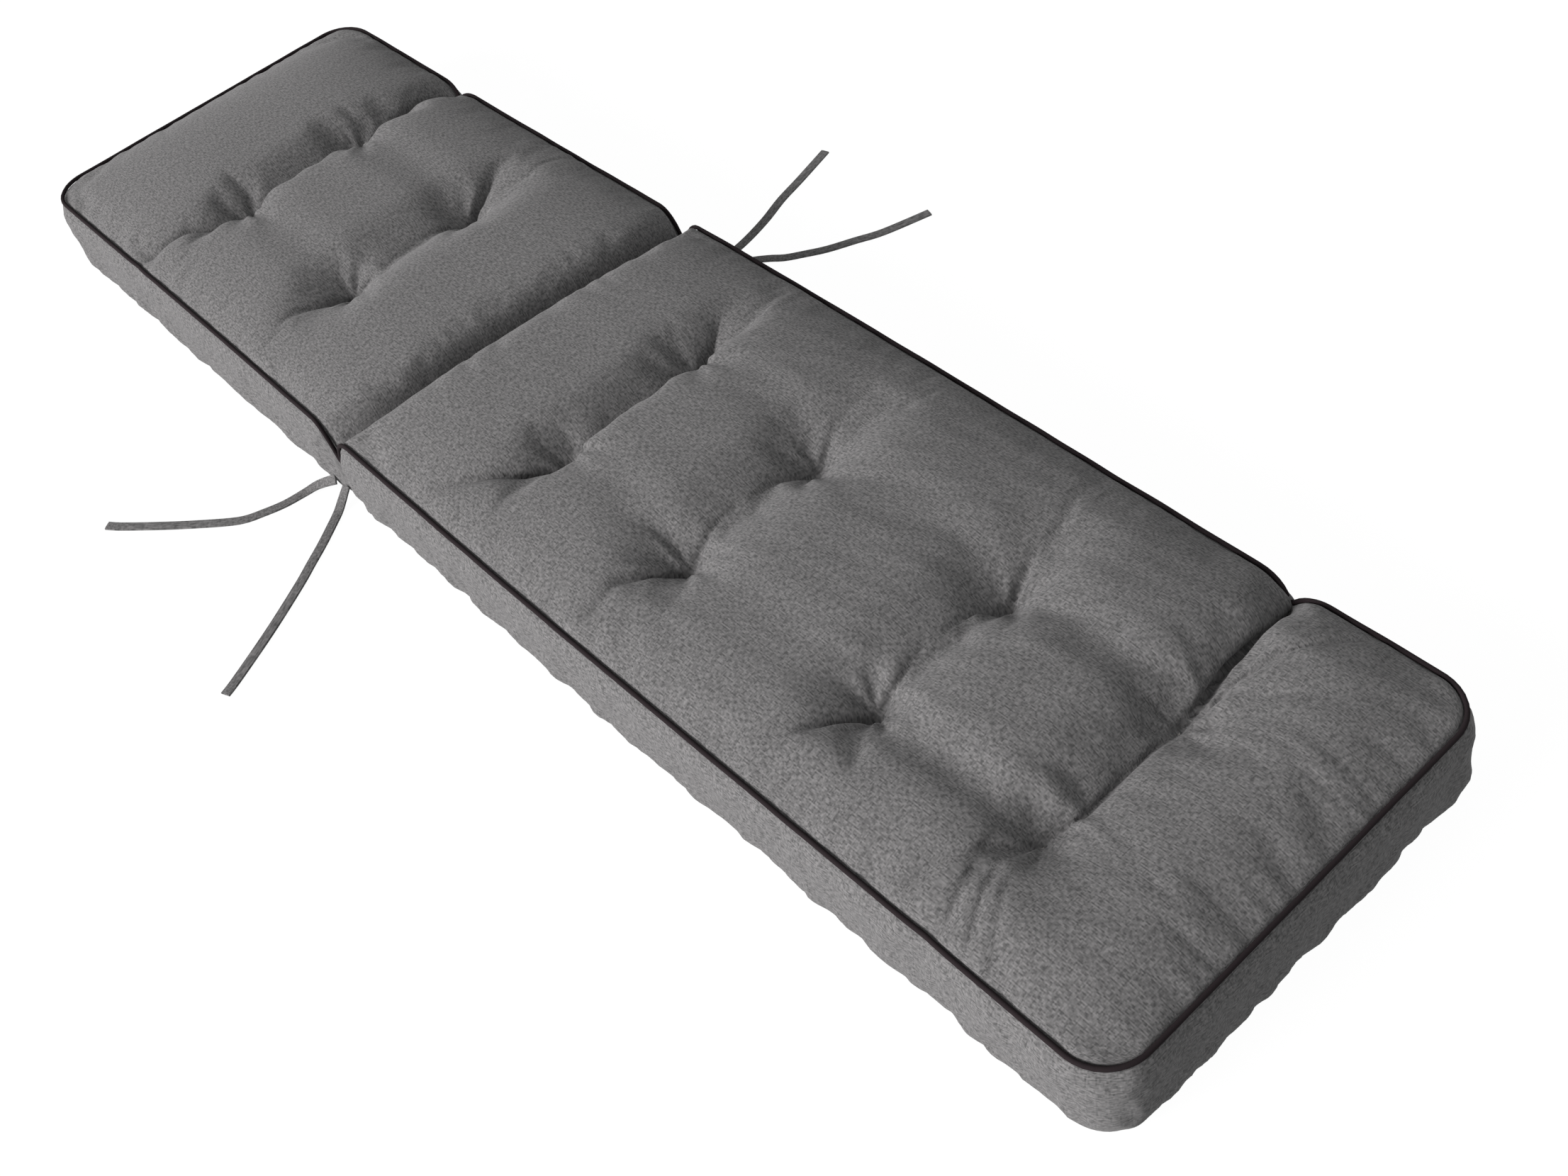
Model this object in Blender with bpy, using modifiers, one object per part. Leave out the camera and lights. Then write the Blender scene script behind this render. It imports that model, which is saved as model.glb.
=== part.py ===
"""A quilted sun lounger cushion: one filled solid, its piping and four tie tapes.

Metres, +Z up. +X runs to the foot end, -Y is the near long side, and the origin
is at the middle of the flat underside, on the surface that the cushion lies on.
"""
import math

import bmesh
import bpy
from mathutils import Vector

# Driving sizes
LENGTH = 1.90
WIDTH = 0.50
RIM_HEIGHT = 0.105
CROWN = 0.034
CORNER_RADIUS = 0.048
SIDE_BOW = 0.005
BOW_CENTRE = 0.12
BOW_REACH = 0.75

PIPING_DIAMETER = 0.0062
SEAT_GAP = 0.0003
PIPING_SEAT = PIPING_DIAMETER / 2 + SEAT_GAP
SEAT_LIP = 0.0012

TIE_WIDTH = 0.012
TIE_THICKNESS = 0.0024

# The sewn fold line: its place at the middle, its slant across the width, its height
FOLD_X = -0.1975
FOLD_SLANT = 0.07
FOLD_HEIGHT = 0.030
FOLD_SPREAD = 0.12
FOLD_REACH_AT_RIM = {"head": 0.042, "foot": 0.052}
FOLD_REACH_INSIDE = {"head": 0.036, "foot": 0.086}

# Rows of tufts: place along the cushion, depth of the trough between the tufts, how
# far it reaches to the head and to the foot, and where the two tufts are across
ROWS = (
    {"x": -0.705, "trough": 0.030, "head": 0.090, "foot": 0.052, "tufts": (-0.078, 0.094)},
    {"x": -0.445, "trough": 0.016, "head": 0.080, "foot": 0.065, "tufts": (-0.083, 0.097)},
    {"x": 0.017, "trough": 0.030, "head": 0.090, "foot": 0.052, "tufts": (-0.085, 0.097)},
    {"x": 0.250, "trough": 0.016, "head": 0.085, "foot": 0.065, "tufts": (-0.100, 0.079)},
    {"x": 0.535, "trough": 0.016, "head": 0.085, "foot": 0.065, "tufts": (-0.099, 0.079)},
    {"x": 0.745, "trough": 0.028, "head": 0.085, "foot": 0.070, "tufts": (-0.093, 0.080)},
)
TUFT_DEPTH = 0.026
TUFT_REACH = 0.024
TUFT_DISH_DEPTH = 0.016
TUFT_DISH_REACH = 0.068
TROUGH_AT_SIDES = 0.20

# Places where the rim is pulled down and in by a row's stitching
NOTCHES = (
    {"side": 1, "x": -0.650, "depth": 0.010, "drawn_in": 0.006, "reach": 0.034},
    {"side": 1, "x": 0.742, "depth": 0.013, "drawn_in": 0.008, "reach": 0.036},
    {"side": -1, "x": -0.695, "depth": 0.005, "drawn_in": 0.004, "reach": 0.035},
    {"side": -1, "x": 0.745, "depth": 0.004, "drawn_in": 0.003, "reach": 0.050},
)
NOTCH_FADE = 0.060
NOTCH_WITH_STATION = 0.005

# Main creases of the top panel, from and to, with their depth and half-width
CREASES = (
    {"from": (-0.650, 0.245), "to": (-0.700, 0.100), "depth": 0.016, "reach": 0.026},
    {"from": (-0.695, -0.235), "to": (-0.705, -0.085), "depth": 0.012, "reach": 0.024},
    {"from": (-0.440, 0.105), "to": (-0.470, 0.180), "depth": 0.009, "reach": 0.024},
    {"from": (0.015, -0.095), "to": (-0.040, -0.225), "depth": 0.013, "reach": 0.024},
    {"from": (0.017, 0.105), "to": (-0.005, 0.170), "depth": 0.009, "reach": 0.024},
    {"from": (0.250, 0.085), "to": (0.225, 0.160), "depth": 0.008, "reach": 0.024},
    {"from": (0.250, -0.105), "to": (0.215, -0.185), "depth": 0.010, "reach": 0.024},
    {"from": (0.535, 0.085), "to": (0.500, 0.180), "depth": 0.008, "reach": 0.024},
    {"from": (0.535, -0.105), "to": (0.490, -0.190), "depth": 0.010, "reach": 0.024},
    {"from": (0.742, 0.245), "to": (0.745, 0.090), "depth": 0.018, "reach": 0.028},
    {"from": (0.745, -0.100), "to": (0.735, -0.230), "depth": 0.012, "reach": 0.026},
)

# The side band, from the piping's seat down to the floor: share of the rim's
# height, and how far the filling pushes the cloth outwards there
BAND = (
    {"share": 0.82, "bulge": 0.0072},
    {"share": 0.50, "bulge": 0.0102},
    {"share": 0.12, "bulge": 0.0096},
    {"share": 0.00, "bulge": 0.0045},
)
BAND_PULL_AT_ROW = 0.12
BAND_PULL_AT_FOLD = 0.45
BAND_PULL_REACH = 0.070
UNDERSIDE_INSET = 0.040

# Mesh stations: target spacing along and across, and how far they crowd to the rows
SPACING_ALONG = 0.026
SPACING_ACROSS = 0.022
CROWDING = 0.45
FOLD_STEPS = {"head": 9, "foot": 10}
CORNER_STEPS = 3

# Ties: points that each tape follows, with the height of its middle, and how far
# it is twisted from lying flat (degrees)
TIES = {
    "tie_near_head": (
        {"x": -0.2345, "y": -0.2633, "z": 0.0200, "twist": -50},
        {"x": -0.2460, "y": -0.2705, "z": 0.0150, "twist": -40},
        {"x": -0.2590, "y": -0.2810, "z": 0.0080, "twist": -20},
        {"x": -0.2660, "y": -0.2960, "z": 0.0030, "twist": -5},
        {"x": -0.2710, "y": -0.3220, "z": 0.0016, "twist": 0},
        {"x": -0.2790, "y": -0.3470, "z": 0.0016, "twist": 0},
        {"x": -0.2890, "y": -0.3700, "z": 0.0016, "twist": 0},
        {"x": -0.3090, "y": -0.3930, "z": 0.0016, "twist": 0},
        {"x": -0.3530, "y": -0.4350, "z": 0.0016, "twist": 0},
        {"x": -0.4000, "y": -0.4760, "z": 0.0016, "twist": 0},
        {"x": -0.4190, "y": -0.4900, "z": 0.0016, "twist": 0},
    ),
    "tie_near_foot": (
        {"x": -0.2170, "y": -0.2603, "z": 0.0180, "twist": 10},
        {"x": -0.2150, "y": -0.2660, "z": 0.0140, "twist": 5},
        {"x": -0.2110, "y": -0.2760, "z": 0.0070, "twist": 0},
        {"x": -0.2050, "y": -0.2870, "z": 0.0020, "twist": 0},
        {"x": -0.1930, "y": -0.3040, "z": 0.0016, "twist": 0},
        {"x": -0.1770, "y": -0.3270, "z": 0.0016, "twist": 0},
        {"x": -0.1600, "y": -0.3540, "z": 0.0016, "twist": 0},
        {"x": -0.1430, "y": -0.3810, "z": 0.0016, "twist": 0},
        {"x": -0.1100, "y": -0.4400, "z": 0.0016, "twist": 0},
        {"x": -0.0790, "y": -0.5020, "z": 0.0016, "twist": 0},
        {"x": -0.0700, "y": -0.5230, "z": 0.0016, "twist": 0},
    ),
    "tie_far_head": (
        {"x": -0.1860, "y": 0.2603, "z": 0.0180, "twist": 10},
        {"x": -0.1850, "y": 0.2680, "z": 0.0140, "twist": 5},
        {"x": -0.1840, "y": 0.2770, "z": 0.0060, "twist": 0},
        {"x": -0.1830, "y": 0.2960, "z": 0.0016, "twist": 0},
        {"x": -0.1850, "y": 0.3260, "z": 0.0016, "twist": 0},
        {"x": -0.1900, "y": 0.3560, "z": 0.0016, "twist": 0},
        {"x": -0.2000, "y": 0.3940, "z": 0.0016, "twist": 0},
        {"x": -0.2140, "y": 0.4340, "z": 0.0016, "twist": 0},
        {"x": -0.2250, "y": 0.4770, "z": 0.0016, "twist": 0},
        {"x": -0.2430, "y": 0.5420, "z": 0.0016, "twist": 0},
    ),
    "tie_far_foot": (
        {"x": -0.1700, "y": 0.2604, "z": 0.0180, "twist": -10},
        {"x": -0.1690, "y": 0.2690, "z": 0.0140, "twist": -5},
        {"x": -0.1670, "y": 0.2800, "z": 0.0060, "twist": 0},
        {"x": -0.1620, "y": 0.3010, "z": 0.0016, "twist": 0},
        {"x": -0.1530, "y": 0.3240, "z": 0.0016, "twist": 0},
        {"x": -0.1370, "y": 0.3420, "z": 0.0016, "twist": 0},
        {"x": -0.1210, "y": 0.3560, "z": 0.0016, "twist": 0},
        {"x": -0.1060, "y": 0.3760, "z": 0.0016, "twist": 0},
        {"x": -0.0890, "y": 0.4010, "z": 0.0016, "twist": 0},
        {"x": -0.0720, "y": 0.4350, "z": 0.0016, "twist": 0},
        {"x": -0.0550, "y": 0.4690, "z": 0.0016, "twist": 0},
        {"x": -0.0350, "y": 0.5330, "z": 0.0016, "twist": 0},
    ),
}
TIE_STEPS_PER_POINT = 3

MATERIALS = {
    "melange_cloth": {"colour": (0.180, 0.180, 0.178), "roughness": 0.92},
    "piping_cord": {"colour": (0.018, 0.014, 0.014), "roughness": 0.70},
}


def raised_cosine(t):
    """1 at the middle, 0 at |t| = 1 and past it."""
    return 0.5 * (1 + math.cos(math.pi * min(abs(t), 1.0)))


def fold_pull(x, y):
    """How far the sewn fold pulls the cloth down at a place: 1 on the stitching."""
    half = WIDTH / 2
    inside = 1 - min(abs(y) / half, 1.0) ** 4
    side = "foot" if x > FOLD_X else "head"
    at_rim = FOLD_REACH_AT_RIM[side]
    reach = at_rim + (FOLD_REACH_INSIDE[side] - at_rim) * inside
    return raised_cosine((x - FOLD_X) / reach)


def slanted(x, y):
    """The fold line isn't square to the sides: shift x near it by the slant."""
    return x + FOLD_SLANT * y * raised_cosine((x - FOLD_X) / FOLD_SPREAD)


def notch_sum(x, side, key):
    """Total of one notch value, depth or drawn_in, at a place on one long side."""
    return sum(
        notch[key] * raised_cosine((x - notch["x"]) / notch["reach"])
        for notch in NOTCHES
        if notch["side"] == side
    )


def rim_height(x, y):
    """Height of the piping's middle on the rim."""
    side = 1 if y > 0 else -1
    height = RIM_HEIGHT - notch_sum(x, side, "depth")
    pull = fold_pull(x, y)
    return height * (1 - pull) + FOLD_HEIGHT * pull


def half_width(x, side):
    """Half of the cushion's width between the rims: bowed, and pulled in at notches."""
    bow = SIDE_BOW * raised_cosine((x - BOW_CENTRE) / BOW_REACH)
    return WIDTH / 2 + bow - notch_sum(x, side, "drawn_in")


def plan_point(x, y):
    """A place on the square lattice, moved to the cushion's outline with round corners."""
    flat_x = LENGTH / 2 - CORNER_RADIUS
    flat_y = WIDTH / 2 - CORNER_RADIUS
    beyond_x = max(abs(x) - flat_x, 0) / CORNER_RADIUS
    beyond_y = max(abs(y) - flat_y, 0) / CORNER_RADIUS
    if beyond_x and beyond_y:
        round_x = beyond_x * math.sqrt(1 - beyond_y ** 2 / 2)
        round_y = beyond_y * math.sqrt(1 - beyond_x ** 2 / 2)
        x = math.copysign(flat_x + CORNER_RADIUS * round_x, x)
        y = math.copysign(flat_y + CORNER_RADIUS * round_y, y)
    side = 1 if y > 0 else -1
    widened = y * half_width(x, side) / (WIDTH / 2)
    return Vector((slanted(x, y), widened, 0))


def distance_to_segment(point, start, end):
    """Distance from a plan point to a segment, and the share along it."""
    along = end - start
    share = (point - start).dot(along) / along.length_squared
    share = min(max(share, 0.0), 1.0)
    return (point - start - along * share).length, share


def crease_depth(x, y):
    """Depth of the main creases at a place: deepest at the start, half at the end."""
    total = 0.0
    for crease in CREASES:
        start = Vector(crease["from"])
        end = Vector(crease["to"])
        distance, share = distance_to_segment(Vector((x, y)), start, end)
        total += crease["depth"] * (1 - 0.4 * share) * raised_cosine(distance / crease["reach"])
    return total


def row_depth(x, y):
    """Depth of the rows' troughs and of their tufts at a place."""
    total = 0.0
    sides = 1 - (1 - TROUGH_AT_SIDES) * min(abs(y) / (WIDTH / 2), 1.0) ** 2
    for row in ROWS:
        reach = row["foot"] if x > row["x"] else row["head"]
        total += row["trough"] * sides * raised_cosine((x - row["x"]) / reach)
        for tuft_y in row["tufts"]:
            distance = math.hypot(x - row["x"], y - tuft_y)
            total += TUFT_DEPTH * math.exp(-distance / TUFT_REACH)
            total += TUFT_DISH_DEPTH * math.exp(-(distance / TUFT_DISH_REACH) ** 2)
    return total


def crown_share(x, y):
    """Share of the full crown at a place: 0 on the rim, 1 inside."""
    across = 1 - min(abs(y) / (WIDTH / 2), 1.0) ** 3.2
    from_end = max(LENGTH / 2 - abs(x), 0) / (WIDTH / 2)
    along = 1 - max(1 - from_end, 0) ** 3.2
    return across * along


def top_height(x, y):
    """Height of the top panel at a place on the lattice."""
    inside = min(crown_share(x, y) * 3, 1.0)
    height = RIM_HEIGHT + CROWN * crown_share(x, y)
    for side in (-1, 1):
        from_side = WIDTH / 2 - side * y
        height -= notch_sum(x, side, "depth") * math.exp(-from_side / NOTCH_FADE)
    height -= (row_depth(x, y) + crease_depth(x, y)) * inside
    pull = fold_pull(x, y)
    return height * (1 - pull) + FOLD_HEIGHT * pull


def notch_places():
    """Stations that meet the deeper notches of the rim."""
    return [notch["x"] for notch in NOTCHES if notch["drawn_in"] > NOTCH_WITH_STATION]


def crowded(start, end, steps):
    """Stations from start to end, closer together near both."""
    places = []
    for step in range(steps):
        share = step / steps
        share -= CROWDING * math.sin(2 * math.pi * share) / (2 * math.pi)
        places.append(start + (end - start) * share)
    return places


def stations(knots, spacing):
    """Stations that meet every knot. A knot is a place, with the steps up to the
    next one where they are given."""
    places = []
    for (start, steps), (end, _) in zip(knots, knots[1:]):
        places += crowded(start, end, steps or max(2, round((end - start) / spacing)))
    places.append(knots[-1][0])
    return places


def stations_along():
    half = LENGTH / 2
    knots = [(-half, CORNER_STEPS), (half - CORNER_RADIUS, CORNER_STEPS), (half, None)]
    knots.insert(1, (CORNER_RADIUS - half, None))
    knots += [(row["x"], None) for row in ROWS]
    knots += [(x, None) for x in notch_places() if min(abs(x - row["x"]) for row in ROWS) > 0.02]
    knots += [
        (FOLD_X - FOLD_REACH_AT_RIM["head"], FOLD_STEPS["head"]),
        (FOLD_X, FOLD_STEPS["foot"]),
        (FOLD_X + FOLD_REACH_AT_RIM["foot"], None),
    ]
    return stations(sorted(knots), SPACING_ALONG)


def stations_across():
    half = WIDTH / 2
    tuft_line = sum(abs(y) for row in ROWS for y in row["tufts"]) / (2 * len(ROWS))
    knots = [(-half, CORNER_STEPS), (CORNER_RADIUS - half, None), (-tuft_line, None), (0, None)]
    knots += [(tuft_line, None), (half - CORNER_RADIUS, CORNER_STEPS), (half, None)]
    return stations(knots, SPACING_ACROSS)


def new_material(name):
    material = bpy.data.materials.new(name)
    material.use_nodes = True
    shader = material.node_tree.nodes["Principled BSDF"]
    shader.inputs["Base Color"].default_value = (*MATERIALS[name]["colour"], 1)
    shader.inputs["Roughness"].default_value = MATERIALS[name]["roughness"]
    shader.inputs["Metallic"].default_value = 0
    return material


def new_object(name, data, material, collection):
    data.materials.append(material)
    obj = bpy.data.objects.new(name, data)
    collection.objects.link(obj)
    return obj


def ordered_boundary(lattice, columns, rows):
    """The lattice's outer places in one loop: near side, foot end, far side, head end."""
    loop = [(column, 0) for column in range(columns)]
    loop += [(columns - 1, row) for row in range(1, rows)]
    loop += [(column, rows - 1) for column in range(columns - 2, -1, -1)]
    loop += [(0, row) for row in range(rows - 2, 0, -1)]
    return [lattice[place] for place in loop]


def rim_frames(places):
    """At each place on the rim: its middle, its outward normal and its upward normal."""
    middles = []
    for x, y in places:
        middle = plan_point(x, y)
        middle.z = rim_height(x, y)
        middles.append(middle)
    frames = []
    count = len(middles)
    for index, middle in enumerate(middles):
        along = (middles[(index + 1) % count] - middles[index - 1]).normalized()
        outward = Vector((along.y, -along.x, 0)).normalized()
        frames.append({"middle": middle, "outward": outward, "upward": outward.cross(along)})
    return frames


def extrude_ring(mesh, ring):
    """Extrude a closed ring of points and return the new ring in the same order."""
    count = len(ring)
    edges = [mesh.edges.get((ring[index], ring[(index + 1) % count])) for index in range(count)]
    made = bmesh.ops.extrude_edge_only(mesh, edges=edges)
    new_points = {item for item in made["geom"] if isinstance(item, bmesh.types.BMVert)}
    following = []
    for point in ring:
        following.append(next(
            edge.other_vert(point) for edge in point.link_edges
            if edge.other_vert(point) in new_points
        ))
    return following


def band_pull(x):
    """How far the rows and the fold hold the band in: 0 is free, 1 is flat."""
    pull = BAND_PULL_AT_FOLD * raised_cosine((x - FOLD_X) / BAND_PULL_REACH)
    for row in ROWS:
        pull += BAND_PULL_AT_ROW * raised_cosine((x - row["x"]) / BAND_PULL_REACH)
    return min(pull, 1.0)


def build_cushion(material, collection):
    """The filled solid: a lattice shaped as the top panel, then its rim is extruded
    round the piping's seat, down the side band and under."""
    xs = stations_along()
    ys = stations_across()
    mesh = bmesh.new()
    bmesh.ops.create_grid(mesh, x_segments=len(xs) - 1, y_segments=len(ys) - 1, size=1)
    lattice = {}
    for point in mesh.verts:
        column = round((point.co.x + 1) / 2 * (len(xs) - 1))
        row = round((point.co.y + 1) / 2 * (len(ys) - 1))
        lattice[column, row] = point
    for (column, row), point in lattice.items():
        x = xs[column]
        y = ys[row]
        point.co = plan_point(x, y)
        point.co.z = top_height(x, y)

    places = {place: (xs[place[0]], ys[place[1]]) for place in lattice}
    rim_places = ordered_boundary(places, len(xs), len(ys))
    frames = rim_frames(rim_places)
    ring = ordered_boundary(lattice, len(xs), len(ys))
    for point, frame in zip(ring, frames):
        point.co = frame["middle"] - frame["outward"] * PIPING_SEAT + frame["upward"] * SEAT_LIP

    for out, up in ((-PIPING_SEAT, -PIPING_SEAT), (SEAT_LIP, -PIPING_SEAT)):
        ring = extrude_ring(mesh, ring)
        for point, frame in zip(ring, frames):
            point.co = frame["middle"] + frame["outward"] * out + frame["upward"] * up

    for level in BAND:
        ring = extrude_ring(mesh, ring)
        for point, frame, (x, _) in zip(ring, frames, rim_places):
            bulge = level["bulge"] * (1 - band_pull(x))
            point.co = frame["middle"] + frame["outward"] * bulge
            point.co.z = (frame["middle"].z - PIPING_SEAT) * level["share"]

    ring = extrude_ring(mesh, ring)
    for point, frame in zip(ring, frames):
        point.co = frame["middle"] - frame["outward"] * UNDERSIDE_INSET
        point.co.z = 0
    count = len(ring)
    edges = [mesh.edges.get((ring[index], ring[(index + 1) % count])) for index in range(count)]
    bmesh.ops.contextual_create(mesh, geom=edges)
    bmesh.ops.recalc_face_normals(mesh, faces=mesh.faces)

    data = bpy.data.meshes.new("cushion")
    mesh.to_mesh(data)
    mesh.free()
    data.shade_smooth()
    new_object("cushion", data, material, collection)
    return frames


def build_piping(frames, material, collection):
    """The piping: one closed cord along the rim, lying in its seat."""
    curve = bpy.data.curves.new("piping", "CURVE")
    curve.dimensions = "3D"
    curve.bevel_depth = PIPING_DIAMETER / 2
    curve.bevel_resolution = 1
    spline = curve.splines.new("POLY")
    spline.points.add(len(frames) - 1)
    for point, frame in zip(spline.points, frames):
        point.co = (*frame["middle"], 1)
    spline.use_cyclic_u = True
    new_object("piping", curve, material, collection)


def smooth_through(values, share):
    """A smooth curve through four values, between the second and the third."""
    before, start, end, after = values
    return 0.5 * (
        2 * start
        + (end - before) * share
        + (2 * before - 5 * start + 4 * end - after) * share ** 2
        + (3 * start - before - 3 * end + after) * share ** 3
    )


def tape_route(rows):
    """Points and twists along a tape, on a smooth curve through the table's rows."""
    places = [Vector((row["x"], row["y"], row["z"])) for row in rows]
    twists = [math.radians(row["twist"]) for row in rows]
    route = []
    last = len(rows) - 1
    for index in range(last):
        picks = [max(index - 1, 0), index, index + 1, min(index + 2, last)]
        for step in range(TIE_STEPS_PER_POINT):
            share = step / TIE_STEPS_PER_POINT
            middle = smooth_through([places[pick] for pick in picks], share)
            twist = smooth_through([twists[pick] for pick in picks], share)
            route.append((middle, twist))
    route.append((places[-1], twists[-1]))
    return route


def build_tie(name, rows, material, collection):
    """One tape: a strip of faces along its route, given its thickness."""
    route = tape_route(rows)
    mesh = bmesh.new()
    bmesh.ops.create_grid(mesh, x_segments=len(route) - 1, y_segments=1, size=1)
    for point in mesh.verts:
        station = round((point.co.x + 1) / 2 * (len(route) - 1))
        middle, twist = route[station]
        ahead = route[min(station + 1, len(route) - 1)][0]
        behind = route[max(station - 1, 0)][0]
        along = (ahead - behind).normalized()
        flat_side = Vector((-along.y, along.x, 0)).normalized()
        flat_up = along.cross(flat_side)
        sideways = flat_side * math.cos(twist) + flat_up * math.sin(twist)
        point.co = middle + sideways * math.copysign(TIE_WIDTH / 2, point.co.y)
    data = bpy.data.meshes.new(name)
    mesh.to_mesh(data)
    mesh.free()
    tie = new_object(name, data, material, collection)
    thickness = tie.modifiers.new("thickness", "SOLIDIFY")
    thickness.thickness = TIE_THICKNESS
    thickness.offset = 0


def main():
    for obj in list(bpy.data.objects):
        bpy.data.objects.remove(obj, do_unlink=True)
    collection = bpy.data.collections.new("sun_lounger_cushion")
    bpy.context.scene.collection.children.link(collection)
    cloth = new_material("melange_cloth")
    cord = new_material("piping_cord")
    frames = build_cushion(cloth, collection)
    build_piping(frames, cord, collection)
    for name, rows in TIES.items():
        build_tie(name, rows, cloth, collection)


main()
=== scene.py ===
# %% [markdown]
# # A quilted sun lounger cushion
#
# The cushion is cloth: a top panel, a side band and an underside, sewn round and
# filled, tufted in rows and sewn through at a fold line, with a dark piping in
# the top seam and four tie tapes. The solid model gives its size and place. This
# lesson dresses it: the camera and the tapes first, then the filled cloth, the
# piping and the thread, then the finishes and the light.

# %% Load the frame
import math

import bpy
import numpy as np
from mathutils import Matrix, Vector, noise
from mathutils.bvhtree import BVHTree


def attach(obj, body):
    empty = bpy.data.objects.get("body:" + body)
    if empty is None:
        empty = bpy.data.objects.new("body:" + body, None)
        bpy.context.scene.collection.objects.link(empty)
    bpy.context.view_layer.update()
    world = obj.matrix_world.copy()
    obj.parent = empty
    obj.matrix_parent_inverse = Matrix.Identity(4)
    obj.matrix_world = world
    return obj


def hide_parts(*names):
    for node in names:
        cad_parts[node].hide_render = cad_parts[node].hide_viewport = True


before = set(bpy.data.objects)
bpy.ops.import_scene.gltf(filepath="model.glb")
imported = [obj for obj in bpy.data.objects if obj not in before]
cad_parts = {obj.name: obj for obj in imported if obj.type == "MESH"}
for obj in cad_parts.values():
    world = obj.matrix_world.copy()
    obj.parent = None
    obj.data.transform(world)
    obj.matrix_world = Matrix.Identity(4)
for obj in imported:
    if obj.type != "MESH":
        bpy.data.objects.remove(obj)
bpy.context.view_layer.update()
print("nodes:", sorted(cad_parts))

# %% [markdown]
# ## Sizes
#
# All sizes are in metres. The large ones repeat the solid model's, so every piece
# lands where the model has it: +X runs to the foot end, -Y is the near long side.

# %% Driving sizes
LENGTH = 1.90
WIDTH = 0.50
RIM_HEIGHT = 0.105
CROWN = 0.034
CORNER_RADIUS = 0.048
SIDE_BOW = 0.005
BOW_CENTRE = 0.12
BOW_REACH = 0.75
HALF_LENGTH = LENGTH / 2
HALF_WIDTH = WIDTH / 2

PIPING_DIAMETER = 0.0062
PIPING_SEAT = PIPING_DIAMETER / 2 + 0.0003
PIPING_SHOWN = 0.0052
SEAT_LIP = 0.0006
SEAT_OUTER_LIP = 0.0016

TIE_WIDTH = 0.012
TIE_THICKNESS = 0.0024

# %% [markdown]
# ## Camera
#
# The view looks down on the foot end from the near side, and the picture is
# turned a little, so the camera is aimed first and then rolled about its own axis.
# The lens and the sensor's width are in millimetres.

# %% Camera
VIEW_TARGET = Vector((0.2899, -0.0185, 0.0))
VIEW_AZIMUTH = math.radians(57.96)
VIEW_ELEVATION = math.radians(48.445)
VIEW_ROLL = math.radians(-13.5)
VIEW_DISTANCE = 1.9167
VIEW_LENS = 40.93
VIEW_SENSOR = 36

backward = Vector((
    math.cos(VIEW_ELEVATION) * math.sin(VIEW_AZIMUTH),
    -math.cos(VIEW_ELEVATION) * math.cos(VIEW_AZIMUTH),
    math.sin(VIEW_ELEVATION),
))
bpy.ops.object.camera_add(location=VIEW_TARGET + backward * VIEW_DISTANCE)
camera = bpy.context.object
camera.name = "camera"
camera.data.lens = VIEW_LENS
camera.data.sensor_width = VIEW_SENSOR
aim = backward.to_track_quat("Z", "Y").to_matrix() @ Matrix.Rotation(VIEW_ROLL, 3, "Z")
camera.rotation_euler = aim.to_euler()
bpy.context.scene.camera = camera
print("camera at", [round(value, 3) for value in camera.location])


# %% [markdown]
# ## Small helpers
#
# An operator acts on all that is selected, so everything is deselected before a
# primitive is added. Colours are written as sRGB hex, the way a colour picker
# shows them, and one function turns them to the linear values a shader wants.

# %% Helpers
def deselect_all():
    if bpy.context.object and bpy.context.object.mode != "OBJECT":
        bpy.ops.object.mode_set(mode="OBJECT")
    bpy.ops.object.select_all(action="DESELECT")


def select_only(obj):
    deselect_all()
    obj.select_set(True)
    bpy.context.view_layer.objects.active = obj


def linear(hex_colour):
    """A hex sRGB colour as linear red, green, blue and alpha."""
    channels = [int(hex_colour[start:start + 2], 16) / 255 for start in (1, 3, 5)]
    straight = [c / 12.92 if c <= 0.04045 else ((c + 0.055) / 1.055) ** 2.4 for c in channels]
    return (*straight, 1.0)


def add_node(material, kind, settings=None, **links):
    """Add a node. A link's value is a number or colour, or a (node, output) pair.

    A link is named for its input, with _ for a space, or is i and the input's number.
    """
    node = material.node_tree.nodes.new(kind)
    for key, value in (settings or {}).items():
        setattr(node, key, value)
    for key, value in links.items():
        numbered = key[0] == "i" and key[1:].isdigit()
        socket = node.inputs[int(key[1:]) if numbered else key.replace("_", " ")]
        if isinstance(value, tuple) and hasattr(value[0], "outputs"):
            material.node_tree.links.new(value[0].outputs[value[1]], socket)
        else:
            socket.default_value = value
    return node


def raised_cosine(t):
    """1 at the middle, falling smoothly to 0 at |t| = 1."""
    return 0.5 * (1 + np.cos(np.pi * np.minimum(np.abs(t), 1.0)))


def pillow_curve(t):
    """1 at the middle, 0 at |t| = 1: the groove between two round pillows that meet."""
    near = np.maximum(1 - np.abs(t), 0.0)
    return 1 - np.sqrt(1 - near ** 2)


# %% [markdown]
# ## The tie tapes
#
# Each tie is a narrow strip of the cushion's cloth, folded and stitched flat. It
# leaves the fold seam at the side, drops to the ground and lies there in the
# loose curve that was seen. The points are the solid model's own: place along,
# place across, height, and twist away from lying flat in degrees. A point without
# the last two lies flat on the ground.

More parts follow.
